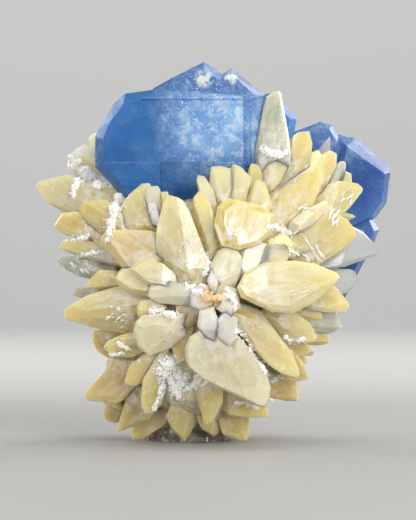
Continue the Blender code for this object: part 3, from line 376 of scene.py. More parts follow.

# Finishes of the calcite: base colour as linear values, and how strongly its rims take the painted glow of light
# through thin edges
FINISHES = {
    "pale": ((0.88, 0.87, 0.69), 0.6),
    "cream": ((0.88, 0.82, 0.52), 0.9),
    "honey": ((0.90, 0.78, 0.37), 1.0),
    # amber is darker partly as a deeper crystal colour and partly as painted shade, for crystals that lie in shadow
    "amber": ((0.80, 0.63, 0.28), 1.0),
    "bright honey": ((0.96, 0.86, 0.42), 1.0),
    "tan": ((0.74, 0.67, 0.38), 0.9),
    "dark honey": ((0.76, 0.61, 0.20), 1.0),
    "light straw": ((0.95, 0.89, 0.62), 1.0),
    "smoky": ((0.51, 0.555, 0.50), 0.3),
    "glassy": ((0.59, 0.635, 0.56), 0.3),
    "clear": ((0.86, 0.90, 0.90), 0.1),
    "frosty": ((0.93, 0.93, 0.91), 0.05),
}
ROCK_TINT = (0.80, 0.71, 0.46)
# Painted shade: the colour of the foot near the floor, where the cluster shades it
FOOT_SHADE_TINT = (0.17, 0.12, 0.06)
FOOT_SHADE_HEIGHT = 0.016
SEE_THROUGH = ("clear",)
RULE_FINISHES = ("cream", "cream", "honey", "honey", "amber", "pale")
# Painted glow: the yellow that rims and tips take, as if lit through their thin edges
RIM_GLOW_COLOUR = (0.92, 0.69, 0.20, 1.0)
# Painted highlight: the thin pale line along each outline, as light caught on its edge
RIM_HIGHLIGHT_COLOUR = (0.98, 0.91, 0.60, 1.0)
MILK_COLOUR = (0.90, 0.89, 0.75, 1.0)
FROST_COLOUR = (0.88, 0.87, 0.83, 1.0)
# Painted shade: the body of each crystal darkens away from its rims, as if less light came through it
BODY_SHADE_TINT = (0.84, 0.79, 0.62, 1.0)
# Painted shade: the tan at the inner end of each crystal, where it meets its neighbours
ROOT_SHADE_TINT = (0.80, 0.70, 0.48, 1.0)
ZONE_WAVER = 1.2
CLEAR_COLOUR = (0.90, 0.95, 0.94, 1.0)
CLEAR_SHADE = (0.82, 0.88, 0.88, 1.0)
SPECK_COLOUR = (0.22, 0.13, 0.05, 1.0)
STAIN_COLOUR = (0.80, 0.43, 0.02, 1.0)
STAIN_PLACE = (0.0004, -0.0385, 0.0440)
FACE_SEED = 11
LUMP_ROUGH_SIZE = 0.004

# The white druse of the front: the line it follows, its half width, how many crystals, their size
DRUSE_STROKES = (
    (((-43.6, 86.0), (-41.8, 84.0), (-41.4, 81.2)), 1.4, 190, 0.6),
    (((-41.6, 83.4), (-38.4, 79.4), (-34.0, 77.8), (-31.4, 77.6)), 2.2, 620, 0.5),
    (((-39.6, 79.4), (-41.0, 76.4), (-41.4, 73.6)), 1.2, 220, 0.55),
    (((-31.4, 81.0), (-31.0, 78.4), (-28.6, 76.8)), 1.2, 160, 0.5),
    (((-26.4, 74.6), (-28.4, 70.0), (-29.8, 65.2), (-30.4, 63.2)), 1.9, 560, 0.5),
    (((16.8, 64.6), (19.8, 64.2), (23.0, 62.6)), 1.3, 220, 0.5),
    (((22.6, 57.8), (25.2, 56.4)), 0.8, 60, 0.45),
    (((-18.0, 39.6), (-15.0, 40.2), (-11.0, 38.6)), 1.4, 270, 0.58),
    (((-7.6, 47.8), (-4.6, 45.6), (-1.0, 44.4)), 1.4, 240, 0.5),
    (((-12.0, 26.6), (-10.2, 22.0), (-9.0, 18.0), (-7.0, 21.6)), 1.8, 420, 0.52),
    (((7.4, 34.6), (10.0, 31.0), (13.6, 26.0), (16.4, 21.0)), 1.2, 320, 0.5),
    (((15.0, 87.6), (18.8, 85.6), (22.0, 86.6)), 1.4, 230, 0.5),
    (((-1.4, 45.6), (1.6, 43.4), (4.6, 44.4)), 1.3, 190, 0.46),
    (((4.4, 46.6), (6.4, 43.0), (6.6, 40.4)), 1.3, 190, 0.45),
    (((-2.6, 50.6), (-0.6, 54.0), (-1.6, 56.6)), 1.0, 140, 0.45),
    (((-44.0, 61.0), (-39.6, 61.0), (-36.4, 61.8)), 0.9, 130, 0.45),
    (((-17.4, 10.4), (-15.6, 14.6), (-14.6, 18.4)), 0.8, 80, 0.45),
    (((-24.4, 28.4), (-27.8, 30.6)), 0.9, 80, 0.45),
    (((21.0, 32.0), (24.6, 30.6), (27.4, 31.6)), 1.0, 120, 0.45),
    (((-31.0, 60.2), (-29.6, 64.0)), 0.8, 70, 0.45),
    (((-40.0, 55.6), (-36.0, 56.6), (-32.0, 57.4)), 0.9, 110, 0.45),
    (((-30.4, 26.6), (-26.0, 27.4)), 0.8, 70, 0.42),
    (((17.6, 19.0), (21.0, 20.6)), 0.9, 80, 0.42),
    (((6.6, 12.6), (10.4, 12.6), (13.4, 10.6)), 0.8, 90, 0.42),
    (((-14.4, 24.6), (-12.4, 19.6), (-10.0, 14.6)), 2.8, 620, 0.58),
    (((-3.4, 19.6), (-7.0, 17.0)), 1.5, 200, 0.52),
)
DRUSE_PILE = 0.45
DRUSE_STRETCH = (0.8, 1.8)
BED_SPACING = 0.8
BED_SIZE = (0.5, 0.95)
BED_SUNK = 0.55
BED_ROUGH_SIZE = 0.0009
BED_ROUGHNESS = 0.0007
DRUSE_SEED = 17
DRUSE_SHAPE = (
    ((1, 0, 0.35), 0.42), ((-1, 0, 0.35), 0.45), ((0, 1, 0.35), 0.42), ((0, -1, 0.35), 0.45),
    ((1, 0.2, -0.5), 0.6), ((-1, -0.2, -0.5), 0.6), ((0.6, 0.7, 0.8), 0.7), ((-0.7, 0.4, 0.9), 0.75),
    ((0.1, -0.7, 0.9), 0.72), ((0, 0, 1), 0.95),
)

# The druse in the gaps between the crystals, all round
GAP_TRIES = 16000
GAP_CLEAR = 0.0006
GAP_WIDTH = 0.0045
GAP_WALLS = 2
GAP_AIM = (22.0, 14.0, 36.0)
GAP_SHELL = (38.0, 26.0, 47.0)
GAP_LOWEST = 0.0012
GAP_SIZE = (0.35, 0.8)

# Bright white cleavage chips of the front, set where the crystals glint, as painted highlights that also reflect the
# lamps: middle, reach, how many, length, breadth, direction of their length
CHIP_PATCHES = (
    ((-43.2, 60.4), (3.0, 1.6), 9, 1.5, 0.7, 20),
    ((-40.6, 53.0), (4.6, 2.2), 16, 1.9, 1.0, -20),
    ((-28.4, 37.6), (3.6, 4.0), 22, 1.7, 0.8, 30),
    ((-6.4, 58.6), (3.6, 5.6), 30, 1.5, 0.7, 70),
    ((-17.8, 70.4), (0.9, 1.0), 3, 2.0, 1.3, 60),
    ((-15.2, 17.6), (1.5, 4.0), 16, 2.6, 1.3, 75),
    ((-16.6, 12.0), (0.8, 1.4), 4, 2.2, 1.2, 60),
    ((30.6, 56.6), (1.2, 4.2), 9, 4.6, 1.0, -48),
    ((28.4, 57.6), (1.0, 3.6), 7, 3.6, 0.8, -48),
    ((36.2, 68.0), (1.6, 2.6), 10, 3.4, 0.9, 50),
    ((29.4, 70.4), (3.2, 1.0), 9, 3.6, 0.8, 34),
    ((32.2, 91.0), (1.6, 1.4), 8, 2.4, 0.6, 50),
    ((41.0, 73.4), (2.6, 2.4), 9, 3.2, 0.5, 42),
    ((12.0, 36.0), (4.6, 5.0), 14, 1.6, 0.5, -50),
    ((-22.0, 25.0), (1.6, 2.4), 6, 1.6, 0.8, 60),
    ((20.0, 46.0), (9.0, 4.0), 14, 2.2, 0.35, 15),
    ((27.0, 81.0), (4.0, 5.0), 8, 2.0, 0.4, 50),
)
CHIP_SHAPE = (
    ((1, 0.3, 0), 0.5), ((-1, 0.35, 0), 0.5), ((0.25, 1, 0), 0.5), ((-0.3, -1, 0), 0.5),
    ((0.2, 0.1, 1), 0.12), ((-0.1, 0.1, -1), 0.3), ((0.8, 1, 0.2), 0.52),
)
CHIP_TILT = 0.1
CHIP_RISE = 0.0
CHIP_BREADTH = (0.5, 1.0)

# The celestite: node, deep colour, light colour, veils (place, reach, strength), bright inclusions (place,
# reach), growth ledges (left, right, bottom and top in metres, tint)
LEDGE_SOFTNESS = 0.0004
LEDGE_DEPTH = 0.0004
VEIL_COLOUR = (0.78, 0.86, 0.96, 1.0)
HAZE_COLOUR = (0.31, 0.56, 0.92, 1.0)
TERRACE_TINT = (0.72, 0.82, 0.92, 1.0)
INCLUSION_COLOUR = (0.92, 0.95, 0.84, 1.0)
CELESTITE_FINISHES = (
    ("celestite_large", (0.006, 0.085, 0.31, 1.0), (0.05, 0.23, 0.57, 1.0), (
        ((0.007, -0.016, 0.096), 0.016, 0.75),
        ((-0.001, -0.016, 0.091), 0.017, 0.6),
        ((-0.007, -0.016, 0.100), 0.013, 0.4),
        # This faint veil high on the top lightens it, as painted light where the top face leans back into shade
        ((-0.001, -0.010, 0.108), 0.014, 0.12),
        ((-0.034, -0.010, 0.094), 0.006, 0.6),
    ), (((-0.0024, -0.010, 0.1086), 0.0034), ((0.0057, -0.010, 0.1092), 0.0026)), (
        ((-0.0153, 0.0010, 0.0660, 0.0837), (0.90, 0.88, 0.86, 1.0)),
        ((-0.0320, 0.0100, 0.0600, 0.0837), (0.98, 0.99, 1.0, 1.0)),
        ((0.0093, 0.0117, 0.0820, 0.1035), (0.45, 0.62, 0.80, 1.0)),
        ((-0.0210, 0.0093, 0.1020, 0.1028), (0.75, 0.85, 0.95, 1.0)),
    )),
    ("celestite_middle", (0.09, 0.24, 0.62, 1.0), (0.20, 0.42, 0.80, 1.0), (), (), ()),
    ("celestite_right", (0.02, 0.10, 0.38, 1.0), (0.08, 0.21, 0.56, 1.0), (
        ((0.040, 0.003, 0.094), 0.016, 0.4),
    ), (), ()),
)

# Lights: name, place, size, power, colour
LIGHT_TARGET = (0.0, 0.0, 0.055)
LIGHTS = (
    ("key", (0.4, -0.95, 0.62), (0.6, 0.6), 8.2, (1.0, 0.99, 0.97)),
    ("fill", (-0.75, -0.75, 0.25), (0.6, 0.6), 3.8, (1.0, 1.0, 1.0)),
    ("low", (0.45, -0.8, 0.14), (0.3, 0.24), 2.6, (1.0, 1.0, 1.0)),
    ("rim_left", (-0.5, 0.45, 0.4), (0.6, 0.6), 3, (1.0, 0.98, 0.95)),
    ("rim_right", (0.55, 0.4, 0.4), (0.6, 0.6), 4, (1.0, 0.98, 0.95)),
    ("top", (0.1, 0.0, 0.85), (0.5, 0.5), 2.5, (1.0, 1.0, 1.0)),
)
BACKDROP_LIGHT = ((0.0, 0.35, 0.9), (1.2, 0.5), 22)
FLOOR_SIZE = 3.0
FLOOR_COLOUR = (0.34, 0.34, 0.335, 1.0)
WORLD_COLOUR = (1.0, 0.99, 0.97, 1.0)
WORLD_STRENGTH = 0.28


def deselect_all():
    if bpy.context.mode != "OBJECT":
        bpy.ops.object.mode_set(mode="OBJECT")
    bpy.ops.object.select_all(action="DESELECT")


def start_block(name, middle, size=BLOCK):
    """Adds a cube around a point and opens it for cutting."""
    deselect_all()
    bpy.ops.mesh.primitive_cube_add(size=size, location=middle)
    block = bpy.context.object
    block.name = name
    bpy.ops.object.transform_apply(location=True)
    bpy.ops.object.mode_set(mode="EDIT")
    return block


def cut(point, outward):
    """Cuts the open mesh by a plane, keeps the inner side and closes the cut."""
    bpy.ops.mesh.select_all(action="SELECT")
    bpy.ops.mesh.bisect(
        plane_co=point, plane_no=outward, use_fill=True, clear_outer=True, threshold=1e-6)


def sides_of(outline):
    return zip(outline, outline[1:] + outline[:1])


def along_of(girdle, facing, direction):
    """The direction to the tip within the girdle, and how far the girdle reaches each way from its middle."""
    middle = sum(girdle, Vector()) / len(girdle)
    along = (direction - facing * direction.dot(facing)).normalized()
    reaches = [(point - middle).dot(along) for point in girdle]
    return middle, along, max(reaches), -min(reaches)


def grow_inwards(girdle, facing, direction):
    """Draws the inner end of a crystal back and down towards the heart of the cluster."""
    middle, along, outer, inner = along_of(girdle, facing, direction)
    grown = []
    for point in girdle:
        share = max(0.0, (middle - point).dot(along) / inner)
        reach = INNER_REACH * (outer + inner) * share
        grown.append(point - along * reach - facing * reach * INNER_DROP)
    return grown


def cut_crystal(name, girdle, facing, height, direction, chance, full_back):
    """A crystal cut from a block: faces rise from its girdle to a ridge, and its back tapers to its root."""
    middle, along_axis, outer, inner = along_of(girdle, facing, direction)
    across = along_axis.cross(facing)
    half_width = max(abs((point - middle).dot(across)) for point in girdle)
    aside = across * half_width * chance.uniform(-RIDGE_ASIDE, RIDGE_ASIDE)
    spine = (
        middle + along_axis * outer * SPINE_REACH[0] + facing * height * SPINE_FALL + aside,
        middle - along_axis * inner * SPINE_REACH[1] + facing * height + aside,
    )
    round_length = sum((end - start).length for start, end in sides_of(girdle))
    block = start_block(name, middle)
    for start, end in sides_of(girdle):
        along = (end - start).normalized()
        outward = along.cross(facing)
        if outward.dot(middle - start) > 0:
            outward.negate()
        if (end - start).length < SHORT_SIDE * round_length:
            cut(start, outward * math.sin(SHORT_SLOPE) + facing * math.cos(SHORT_SLOPE))
        else:
            top = min(spine, key=lambda point: (point - start).cross(along).length)
            rise = top - start
            slope = math.atan2(rise.dot(facing), -rise.dot(outward))
            cut(start + facing * RIM_RISE, outward * math.sin(slope) + facing * math.cos(slope))
            slope += RIM_STEEPER
            cut(start, outward * math.sin(slope) + facing * math.cos(slope))
        cut(start, outward * math.sin(BACK_SLOPE) - facing * math.cos(BACK_SLOPE))
    steepest = TOP_FACE_TILT * height / (outer + inner)
    tilt = along_axis * chance.uniform(-steepest, steepest) + across * chance.uniform(-steepest, steepest) * 2
    cut(middle + facing * height * TOP_FACE_SHARE, facing + tilt)
    cut(middle - facing * height * BACK_CAP_SHARE * full_back, -facing)
    bpy.ops.mesh.select_all(action="DESELECT")
    root = (HEART * MM).lerp(middle, ROOT_REACH)
    bpy.ops.mesh.primitive_cube_add(size=ROOT_SIZE, location=root)
    bpy.ops.mesh.select_all(action="SELECT")
    bpy.ops.mesh.convex_hull()
    bpy.ops.mesh.select_all(action="SELECT")
    bpy.ops.mesh.remove_doubles(threshold=SMALL_EDGE)
    bpy.ops.mesh.dissolve_limited(angle_limit=FLAT_ENOUGH)
    if full_back and chance.random() < STEP_CHANCE:
        raise_step(facing, chance)
    soften_edges(root, middle)
    return block


def raise_step(facing, chance):
    """Raises a growth step on the widest face that looks outwards."""
    mesh = bmesh.from_edit_mesh(bpy.context.object.data)
    bpy.context.tool_settings.mesh_select_mode = (False, False, True)
    bpy.ops.mesh.select_all(action="DESELECT")
    outer_faces = [face for face in mesh.faces if face.normal.dot(facing) > STEP_FACING]
    if not outer_faces:
        return
    widest = max(outer_faces, key=lambda face: face.calc_area())
    if widest.calc_area() < STEP_AREA:
        return
    corner = chance.choice(list(widest.verts)).co
    anchor = widest.calc_center_median().lerp(corner, chance.uniform(0, STEP_ASIDE))
    rise = widest.normal * STEP_RISE
    widest.select_set(True)
    bpy.ops.mesh.extrude_region_move()
    bpy.ops.transform.resize(value=(STEP_SHARE, STEP_SHARE, STEP_SHARE), center_override=anchor)
    bpy.ops.mesh.extrude_region_move(TRANSFORM_OT_translate={"value": rise})


def soften_edges(root, middle):
    """Rounds the sharp edges of the outer half of the open crystal and divides its wide faces."""
    mesh = bmesh.from_edit_mesh(bpy.context.object.data)
    bpy.ops.mesh.select_all(action="DESELECT")
    bpy.context.tool_settings.mesh_select_mode = (False, True, False)
    inwards = root - middle
    for edge in mesh.edges:
        where = ((edge.verts[0].co + edge.verts[1].co) / 2 - middle).dot(inwards) / inwards.length_squared
        if len(edge.link_faces) == 2 and edge.calc_face_angle() > SHARP_EDGE and where < BEVEL_FROM:
            edge.select_set(True)
    bpy.ops.mesh.bevel(offset=EDGE_WIDTH, segments=1, affect="EDGES", clamp_overlap=True)
    bpy.ops.mesh.select_all(action="SELECT")
    bpy.ops.mesh.quads_convert_to_tris()
    bpy.context.tool_settings.mesh_select_mode = (False, False, True)
    for round_number in range(2):
        mesh = bmesh.from_edit_mesh(bpy.context.object.data)
        bpy.ops.mesh.select_all(action="DESELECT")
        for face in mesh.faces:
            face.select_set(face.calc_area() > WIDE_FACE)
        bpy.ops.mesh.subdivide(number_cuts=1)
        bpy.ops.mesh.select_all(action="SELECT")
        bpy.ops.mesh.quads_convert_to_tris()


def colour_crystal(block, finish, girdle, facing, direction, chance):
    """Stores on a crystal its tint, how strongly its rim takes the painted glow of light through thin edges, how near
    each point is to the rim, and its length and breadth.
    """
    bpy.ops.object.mode_set(mode="OBJECT")
    mesh = block.data
    middle, along, reach, _ = along_of(girdle, facing, direction)
    across = along.cross(facing).normalized()
    corners = np.empty(len(mesh.vertices) * 3)
    mesh.vertices.foreach_get("co", corners)
    corners = corners.reshape(-1, 3) - np.array(middle)
    flat = np.stack([corners @ np.array(across), corners @ np.array(along)], axis=1)
    ring = np.array([[(p - middle).dot(across), (p - middle).dot(along)] for p in girdle])
    nearest = np.full(len(flat), 1.0)
    for start, end in zip(ring, np.roll(ring, -1, axis=0)):
        side = end - start
        share = np.clip(((flat - start) @ side) / (side @ side), 0, 1)
        nearest = np.minimum(nearest, np.linalg.norm(flat - start - share[:, None] * side, axis=1))
    tip = np.clip(flat[:, 1] / reach, 0, 1)
    mesh.attributes.new("along", "FLOAT", "POINT").data.foreach_set("value", flat[:, 1] / reach)
    body, rim_glow_strength = FINISHES[finish]
    lightness = chance.uniform(*TINT_LIGHTNESS)
    warmth = chance.uniform(*TINT_WARMTH)
    body = (body[0] * lightness, body[1] * lightness * warmth ** 0.3, body[2] * lightness * warmth)
    # How strongly the painted glow of light through thin edges is laid on, more towards the tip
    rim = (0.4 + 0.6 * tip) * rim_glow_strength
    mesh.attributes.new("rim", "FLOAT", "POINT").data.foreach_set("value", rim)
    mesh.attributes.new("zone", "FLOAT", "POINT").data.foreach_set("value", nearest / MM)
    tint = mesh.color_attributes.new("tint", "FLOAT_COLOR", "POINT")
    tint.data.foreach_set("color", np.tile(np.array((*body, 1.0)), len(flat)))
    growth = mesh.uv_layers.new(name="growth")
    loops = np.empty(len(mesh.loops), dtype=np.int32)
    mesh.loops.foreach_get("vertex_index", loops)
    growth.data.foreach_set("uv", (flat[loops] / MM).ravel())
    mesh.materials.append(calcite_clear if finish in SEE_THROUGH else calcite)


def join(pieces, name):
    """Joins pieces into the first one."""
    deselect_all()
    for piece in pieces:
        piece.select_set(True)
    bpy.context.view_layer.objects.active = pieces[0]
    bpy.ops.object.join()
    pieces[0].name = name
    pieces[0].data.name = name
    return pieces[0]


def front_girdle(lift, outline, lean=1.0):
    """The girdle and the facing of a crystal given in the front view, which leans back as the dome does."""
    centre_x = sum(x for x, z in outline) / len(outline)
    centre_z = sum(z for x, z in outline) / len(outline)
    share = (centre_x / DOME_HALF_WIDTH) ** 2 + ((centre_z - DOME_CENTRE_Z) / DOME_HALF_HEIGHT) ** 2
    depth = -DOME_DEPTH * (1 - share) - lift
    across = 2 * DOME_DEPTH * centre_x / DOME_HALF_WIDTH ** 2 * DOME_LEAN * lean
    up = 2 * DOME_DEPTH * (centre_z - DOME_CENTRE_Z) / DOME_HALF_HEIGHT ** 2 * DOME_LEAN * lean
    girdle = [Vector((x, depth + across * (x - centre_x) + up * (z - centre_z), z)) * MM for x, z in outline]
    return girdle, Vector((across, -1.0, up)).normalized()


def front_crystals():
    """The crystals of the front, one by one."""
    chance = random.Random(FACE_SEED)
    made = []
    for name, (finish, lift, height, outline, *lean) in FRONT_CRYSTALS.items():
        girdle, facing = front_girdle(lift, outline, *lean)
        direction = sum(girdle, Vector()) / len(girdle) - HUB * MM
        direction.y = 0
        if direction.length > HUB_REACH * MM and lift < TOPMOST_LIFT:
            girdle = grow_inwards(girdle, facing, direction)
        block = cut_crystal(name, girdle, facing, height * FRONT_FLATNESS * MM, direction, chance, True)
        colour_crystal(block, finish, girdle, facing, direction, chance)
        made.append(block)
    return made


def between(points, height):
    """The value at this height on a line through (height, value) points."""
    for (low, low_value), (high, high_value) in zip(points, points[1:]):
        if height <= high:
            share = max(0.0, (height - low) / (high - low))
            return low_value + share * (high_value - low_value)
    return points[-1][1]


def inside_outline(point):
    """Whether a point on a side stays inside the outline of the front view."""
    limit = RIGHT_LIMIT if point.x > 0 else LEFT_LIMIT
    return abs(point.x) < between(limit, point.z) - OUTLINE_MARGIN


def rule_girdle(place, axis, across, length, width):
    """The girdle of a crystal of a rule, with its tip along the axis."""
    return [place + across * width * a + axis * length * b for a, b in RULE_OUTLINE]


def rule_crystal(name, girdle, facing, width, chance):
    """A crystal of a rule, in one of the usual finishes."""
    girdle = [point * MM for point in girdle]
    direction = girdle[RULE_TIP] - sum(girdle, Vector()) / len(girdle)
    block = cut_crystal(name, girdle, facing, width * RULE_HEIGHT_SHARE * MM, direction, chance, False)
    colour_crystal(block, chance.choice(RULE_FINISHES), girdle, facing, direction, chance)
    return block


def back_crystals():
    """The crystals of the back, which lean along the shell and away from the front."""
    chance = random.Random(BACK_SEED)
    finish_chance = random.Random(FACE_SEED)
    made = []
    for number in range(BACK_COUNT):
        back = 1 - (1 - BACK_FRONT_LIMIT) * (number + 0.5) / BACK_COUNT
        turn = number * GOLDEN_ANGLE + chance.uniform(-BACK_TURN, BACK_TURN)
        ring = math.sqrt(1 - back * back)
        outward = Vector((ring * math.cos(turn), back, ring * math.sin(turn)))
        length = chance.uniform(*BACK_LENGTH)
        width = chance.uniform(*BACK_WIDTH)
        place = BACK_SHELL_CENTRE + outward * BACK_SHELL_RADII
        away = (place - HEART).normalized()
        along_shell = (away - BACK * away.y * (1 - BACK_OUTWARD)).normalized()
        sideways = UP.cross(away) * chance.uniform(-BACK_SWING, BACK_SWING)
        for bend in BACK_BENDS:
            axis = (along_shell + sideways + BACK * bend).normalized()
            across = axis.cross(away).normalized()
            girdle = rule_girdle(place, axis, across, length, width)
            if inside_outline(girdle[RULE_TIP]):
                break
        else:
            continue
        facing = across.cross(axis).normalized()
        if facing.dot(away) < 0:
            facing.negate()
        too_far = max(0.0, girdle[RULE_TIP].y - BACK_REACH)
        girdle = [point - BACK * too_far for point in girdle]
        if min(point.z for point in girdle) > LOWEST_TIP:
            made.append(rule_crystal(f"back_{number}", girdle, facing, width, finish_chance))
    return made


def band_crystals():
    """The crystals of both sides, whose tips reach almost to the outline of the front view."""
    chance = random.Random(BAND_SEED)
    finish_chance = random.Random(FACE_SEED)
    made = []
    for side, limit in ((-1, LEFT_LIMIT), (1, RIGHT_LIMIT)):
        for row, (depth, highest) in enumerate(BAND_ROWS):
            for height in [height for height in BAND_HEIGHTS if height < highest]:
                length = chance.uniform(*BAND_LENGTH)
                width = chance.uniform(*BAND_WIDTH)
                z = height + BAND_STAGGER * (row % 2) + chance.uniform(-BAND_JITTER, BAND_JITTER)
                reach = between(limit, z) - OUTLINE_MARGIN - chance.uniform(0, BAND_SHORTEST)
                tip = Vector((side * reach, depth + chance.uniform(-BAND_JITTER, BAND_JITTER), z))
                root = BAND_ROOT + UP * (z - BAND_ROOT.z) * BAND_RISE
                axis = (tip - root).normalized()
                roll = chance.uniform(0, math.pi)
                facing = UP * math.cos(roll) + BACK * math.sin(roll)
                facing = (facing - axis * facing.dot(axis)).normalized()
                across = axis.cross(facing)
                place = tip - axis * length * RULE_OUTLINE[RULE_TIP][1]
                girdle = rule_girdle(place, axis, across, length, width)
                made.append(rule_crystal(f"side_{len(made)}", girdle, facing, width, finish_chance))
    return made


def hem_crystals(seed, count, first_turn, last_turn, lengths, widths):
    """The crystals that hide the foot, pointing outwards and a little down."""
    chance = random.Random(seed)
    finish_chance = random.Random(FACE_SEED)
    made = []
    for number in range(count):
        share = number / (count - 1)
        turn = first_turn + (last_turn - first_turn) * share + chance.uniform(-HEM_TURN, HEM_TURN)
        length = chance.uniform(*lengths)
        width = chance.uniform(*widths)
        outward = Vector((math.cos(turn), math.sin(turn), 0.0))
        reach = outward * Vector((FOOT_RADII[0] - HEM_INSET, FOOT_RADII[1] - HEM_INSET, 0.0))
        place = Vector((*FOOT_CENTRE, HEM_HEIGHTS[number % len(HEM_HEIGHTS)])) + reach
        axis = (outward - UP * chance.uniform(*HEM_DROP)).normalized()
        across = axis.cross(UP).normalized()
        facing = across.cross(axis).normalized()
        for share in HEM_SHARES:
            girdle = rule_girdle(place, axis, across, length * share, width * share)
            lowest = min(point.z for point in girdle)
            girdle = [point + UP * max(0.0, LOWEST_TIP - lowest) for point in girdle]
            if inside_outline(girdle[RULE_TIP]):
                name = f"hem_{seed}_{number}"
                made.append(rule_crystal(name, girdle, facing, width * share, finish_chance))
                break
    return made


def plain_colouring(piece, tint):
    """Gives a piece with no girdle the same stored values as a crystal, and darkens it towards the floor as painted
    shade.
    """
    mesh = piece.data
    for name in ("rim", "along", "zone"):
        mesh.attributes.new(name, "FLOAT", "POINT").data.foreach_set("value", np.zeros(len(mesh.vertices)))
    # Painted shade: darker towards the floor, up to FOOT_SHADE_HEIGHT
    height = np.array([corner.co.z for corner in mesh.vertices])
    shade = np.clip(height / FOOT_SHADE_HEIGHT, 0, 1)[:, None]
    tints = shade * np.array(tint) + (1 - shade) * np.array(FOOT_SHADE_TINT)
    colour = mesh.color_attributes.new("tint", "FLOAT_COLOR", "POINT")
    colour.data.foreach_set("color", np.column_stack([tints, np.ones(len(tints))]).ravel())
    mesh.materials.append(calcite)


def massive_calcite(sockets):
    """The rough massive calcite that shows between the crystals, and the foot with its flat cut."""
    made = []
    for number, (centre, radii) in enumerate(LUMPS):
        deselect_all()
        bpy.ops.mesh.primitive_ico_sphere_add(subdivisions=LUMP_DETAIL, radius=MM)
        lump = bpy.context.object
        lump.name = f"lump_{number}"
        lump.scale = radii
        lump.location = Vector(centre) * MM
        bpy.ops.object.transform_apply(location=True, rotation=True, scale=True)
        made.append(lump)
    deselect_all()
    bpy.ops.mesh.primitive_cylinder_add(vertices=FOOT_SIDES, radius=1, depth=1, end_fill_type="TRIFAN")
    foot = bpy.context.object
    foot.name = "foot"
    foot.scale = (FOOT_RADII[0] * MM, FOOT_RADII[1] * MM, FOOT_TOP * MM * 2)
    foot.location = (FOOT_CENTRE[0] * MM, FOOT_CENTRE[1] * MM, 0)
    bpy.ops.object.transform_apply(location=True, rotation=True, scale=True)
    bpy.ops.object.mode_set(mode="EDIT")
    bpy.ops.mesh.select_all(action="SELECT")
    bpy.ops.mesh.subdivide(number_cuts=5)
    bpy.ops.object.mode_set(mode="OBJECT")
    made.append(foot)
    rock = join(made, "massive_calcite")
    roughen(rock, "rock lumps", LUMP_ROUGH_SIZE, LUMP_ROUGHNESS)
    remesh = rock.modifiers.new("one skin", "REMESH")
    remesh.mode = "VOXEL"
    remesh.voxel_size = LUMP_VOXEL
    bpy.ops.object.modifier_apply(modifier=remesh.name)
    roughen(rock, "rock grains", GRAIN_ROUGH_SIZE, GRAIN_ROUGHNESS)
    for socket in sockets:
        take_away(rock, socket)
    bpy.ops.object.mode_set(mode="EDIT")
    cut(Vector((0, 0, 0)), -UP)
    bpy.ops.object.mode_set(mode="OBJECT")
    plain_colouring(rock, ROCK_TINT)
    return rock


def take_away(piece, cutter):
    """Cuts the room that another piece fills out of this one."""
    deselect_all()
    piece.select_set(True)
    bpy.context.view_layer.objects.active = piece
    room = piece.modifiers.new("room", "BOOLEAN")
    room.operation = "DIFFERENCE"
    room.solver = "EXACT"
    room.object = cutter
    bpy.ops.object.modifier_apply(modifier=room.name)


def grown_copy(node_name):
    """A copy of a celestite solid, a little bigger, that cuts its socket."""
    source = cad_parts[node_name]
    deselect_all()
    piece = source.copy()
    piece.data = source.data.copy()
    piece.name = node_name + "_socket"
    piece.parent = None
    bpy.context.scene.collection.objects.link(piece)
    piece.matrix_world = source.matrix_world.copy()
    piece.select_set(True)
    bpy.context.view_layer.objects.active = piece
    bpy.ops.object.transform_apply(location=True, rotation=True, scale=True)
    bpy.ops.object.mode_set(mode="EDIT")
    bpy.ops.mesh.select_all(action="SELECT")
    bpy.ops.mesh.remove_doubles(threshold=0.00002)
    bpy.ops.mesh.normals_make_consistent(inside=False)
    bpy.ops.transform.shrink_fatten(value=SOCKET_GAP)
    bpy.ops.object.mode_set(mode="OBJECT")
    piece.hide_render = True
    return piece


def roughen(piece, name, size, strength):
    """Moves the surface in and out by a cloudy pattern."""
    deselect_all()
    piece.select_set(True)
    bpy.context.view_layer.objects.active = piece
    clouds = bpy.data.textures.new(name, "CLOUDS")
    clouds.noise_scale = size
    clouds.noise_depth = 2
    push = piece.modifiers.new(name, "DISPLACE")
    push.texture = clouds
    push.texture_coords = "GLOBAL"
    push.strength = strength
    push.mid_level = 0.5
    bpy.ops.object.modifier_apply(modifier=push.name)


def surface_of_all(pieces):
    """A search tree over the faces of several pieces."""
    mesh = bmesh.new()
    for piece in pieces:
        mesh.from_mesh(piece.data)
    tree = BVHTree.FromBMesh(mesh)
    mesh.free()
    return tree


def small_crystal(name, shape):
    """One small crystal of the druse, a sheared block with cut corners."""
    block = start_block(name, (0, 0, 0), 2.0)
    for outward, reach in shape:
        outward = Vector(outward).normalized()
        cut(outward * reach, outward)
    bpy.ops.mesh.select_all(action="SELECT")
    bpy.ops.mesh.quads_convert_to_tris()
    bpy.ops.object.mode_set(mode="OBJECT")
    corners = np.array([v.co[:] for v in block.data.vertices])
    faces = np.array([f.vertices[:] for f in block.data.polygons])
    deselect_all()
    block.select_set(True)
    bpy.ops.object.delete()
    return corners, faces


def crust(name, seats, shape, finish):
    """Many small crystals in one mesh, each copied to its seat: point, turn, size."""
    corners, faces = shape
    points = [corners * np.array(size) @ np.array(turn).T + np.array(point) for point, turn, size in seats]
    triangles = [faces + number * len(corners) for number in range(len(seats))]
    mesh = bpy.data.meshes.new(name)
    mesh.from_pydata(np.concatenate(points).tolist(), [], np.concatenate(triangles).tolist())
    piece = bpy.data.objects.new(name, mesh)
    bpy.context.scene.collection.objects.link(piece)
    mesh.materials.append(finish)
    return piece


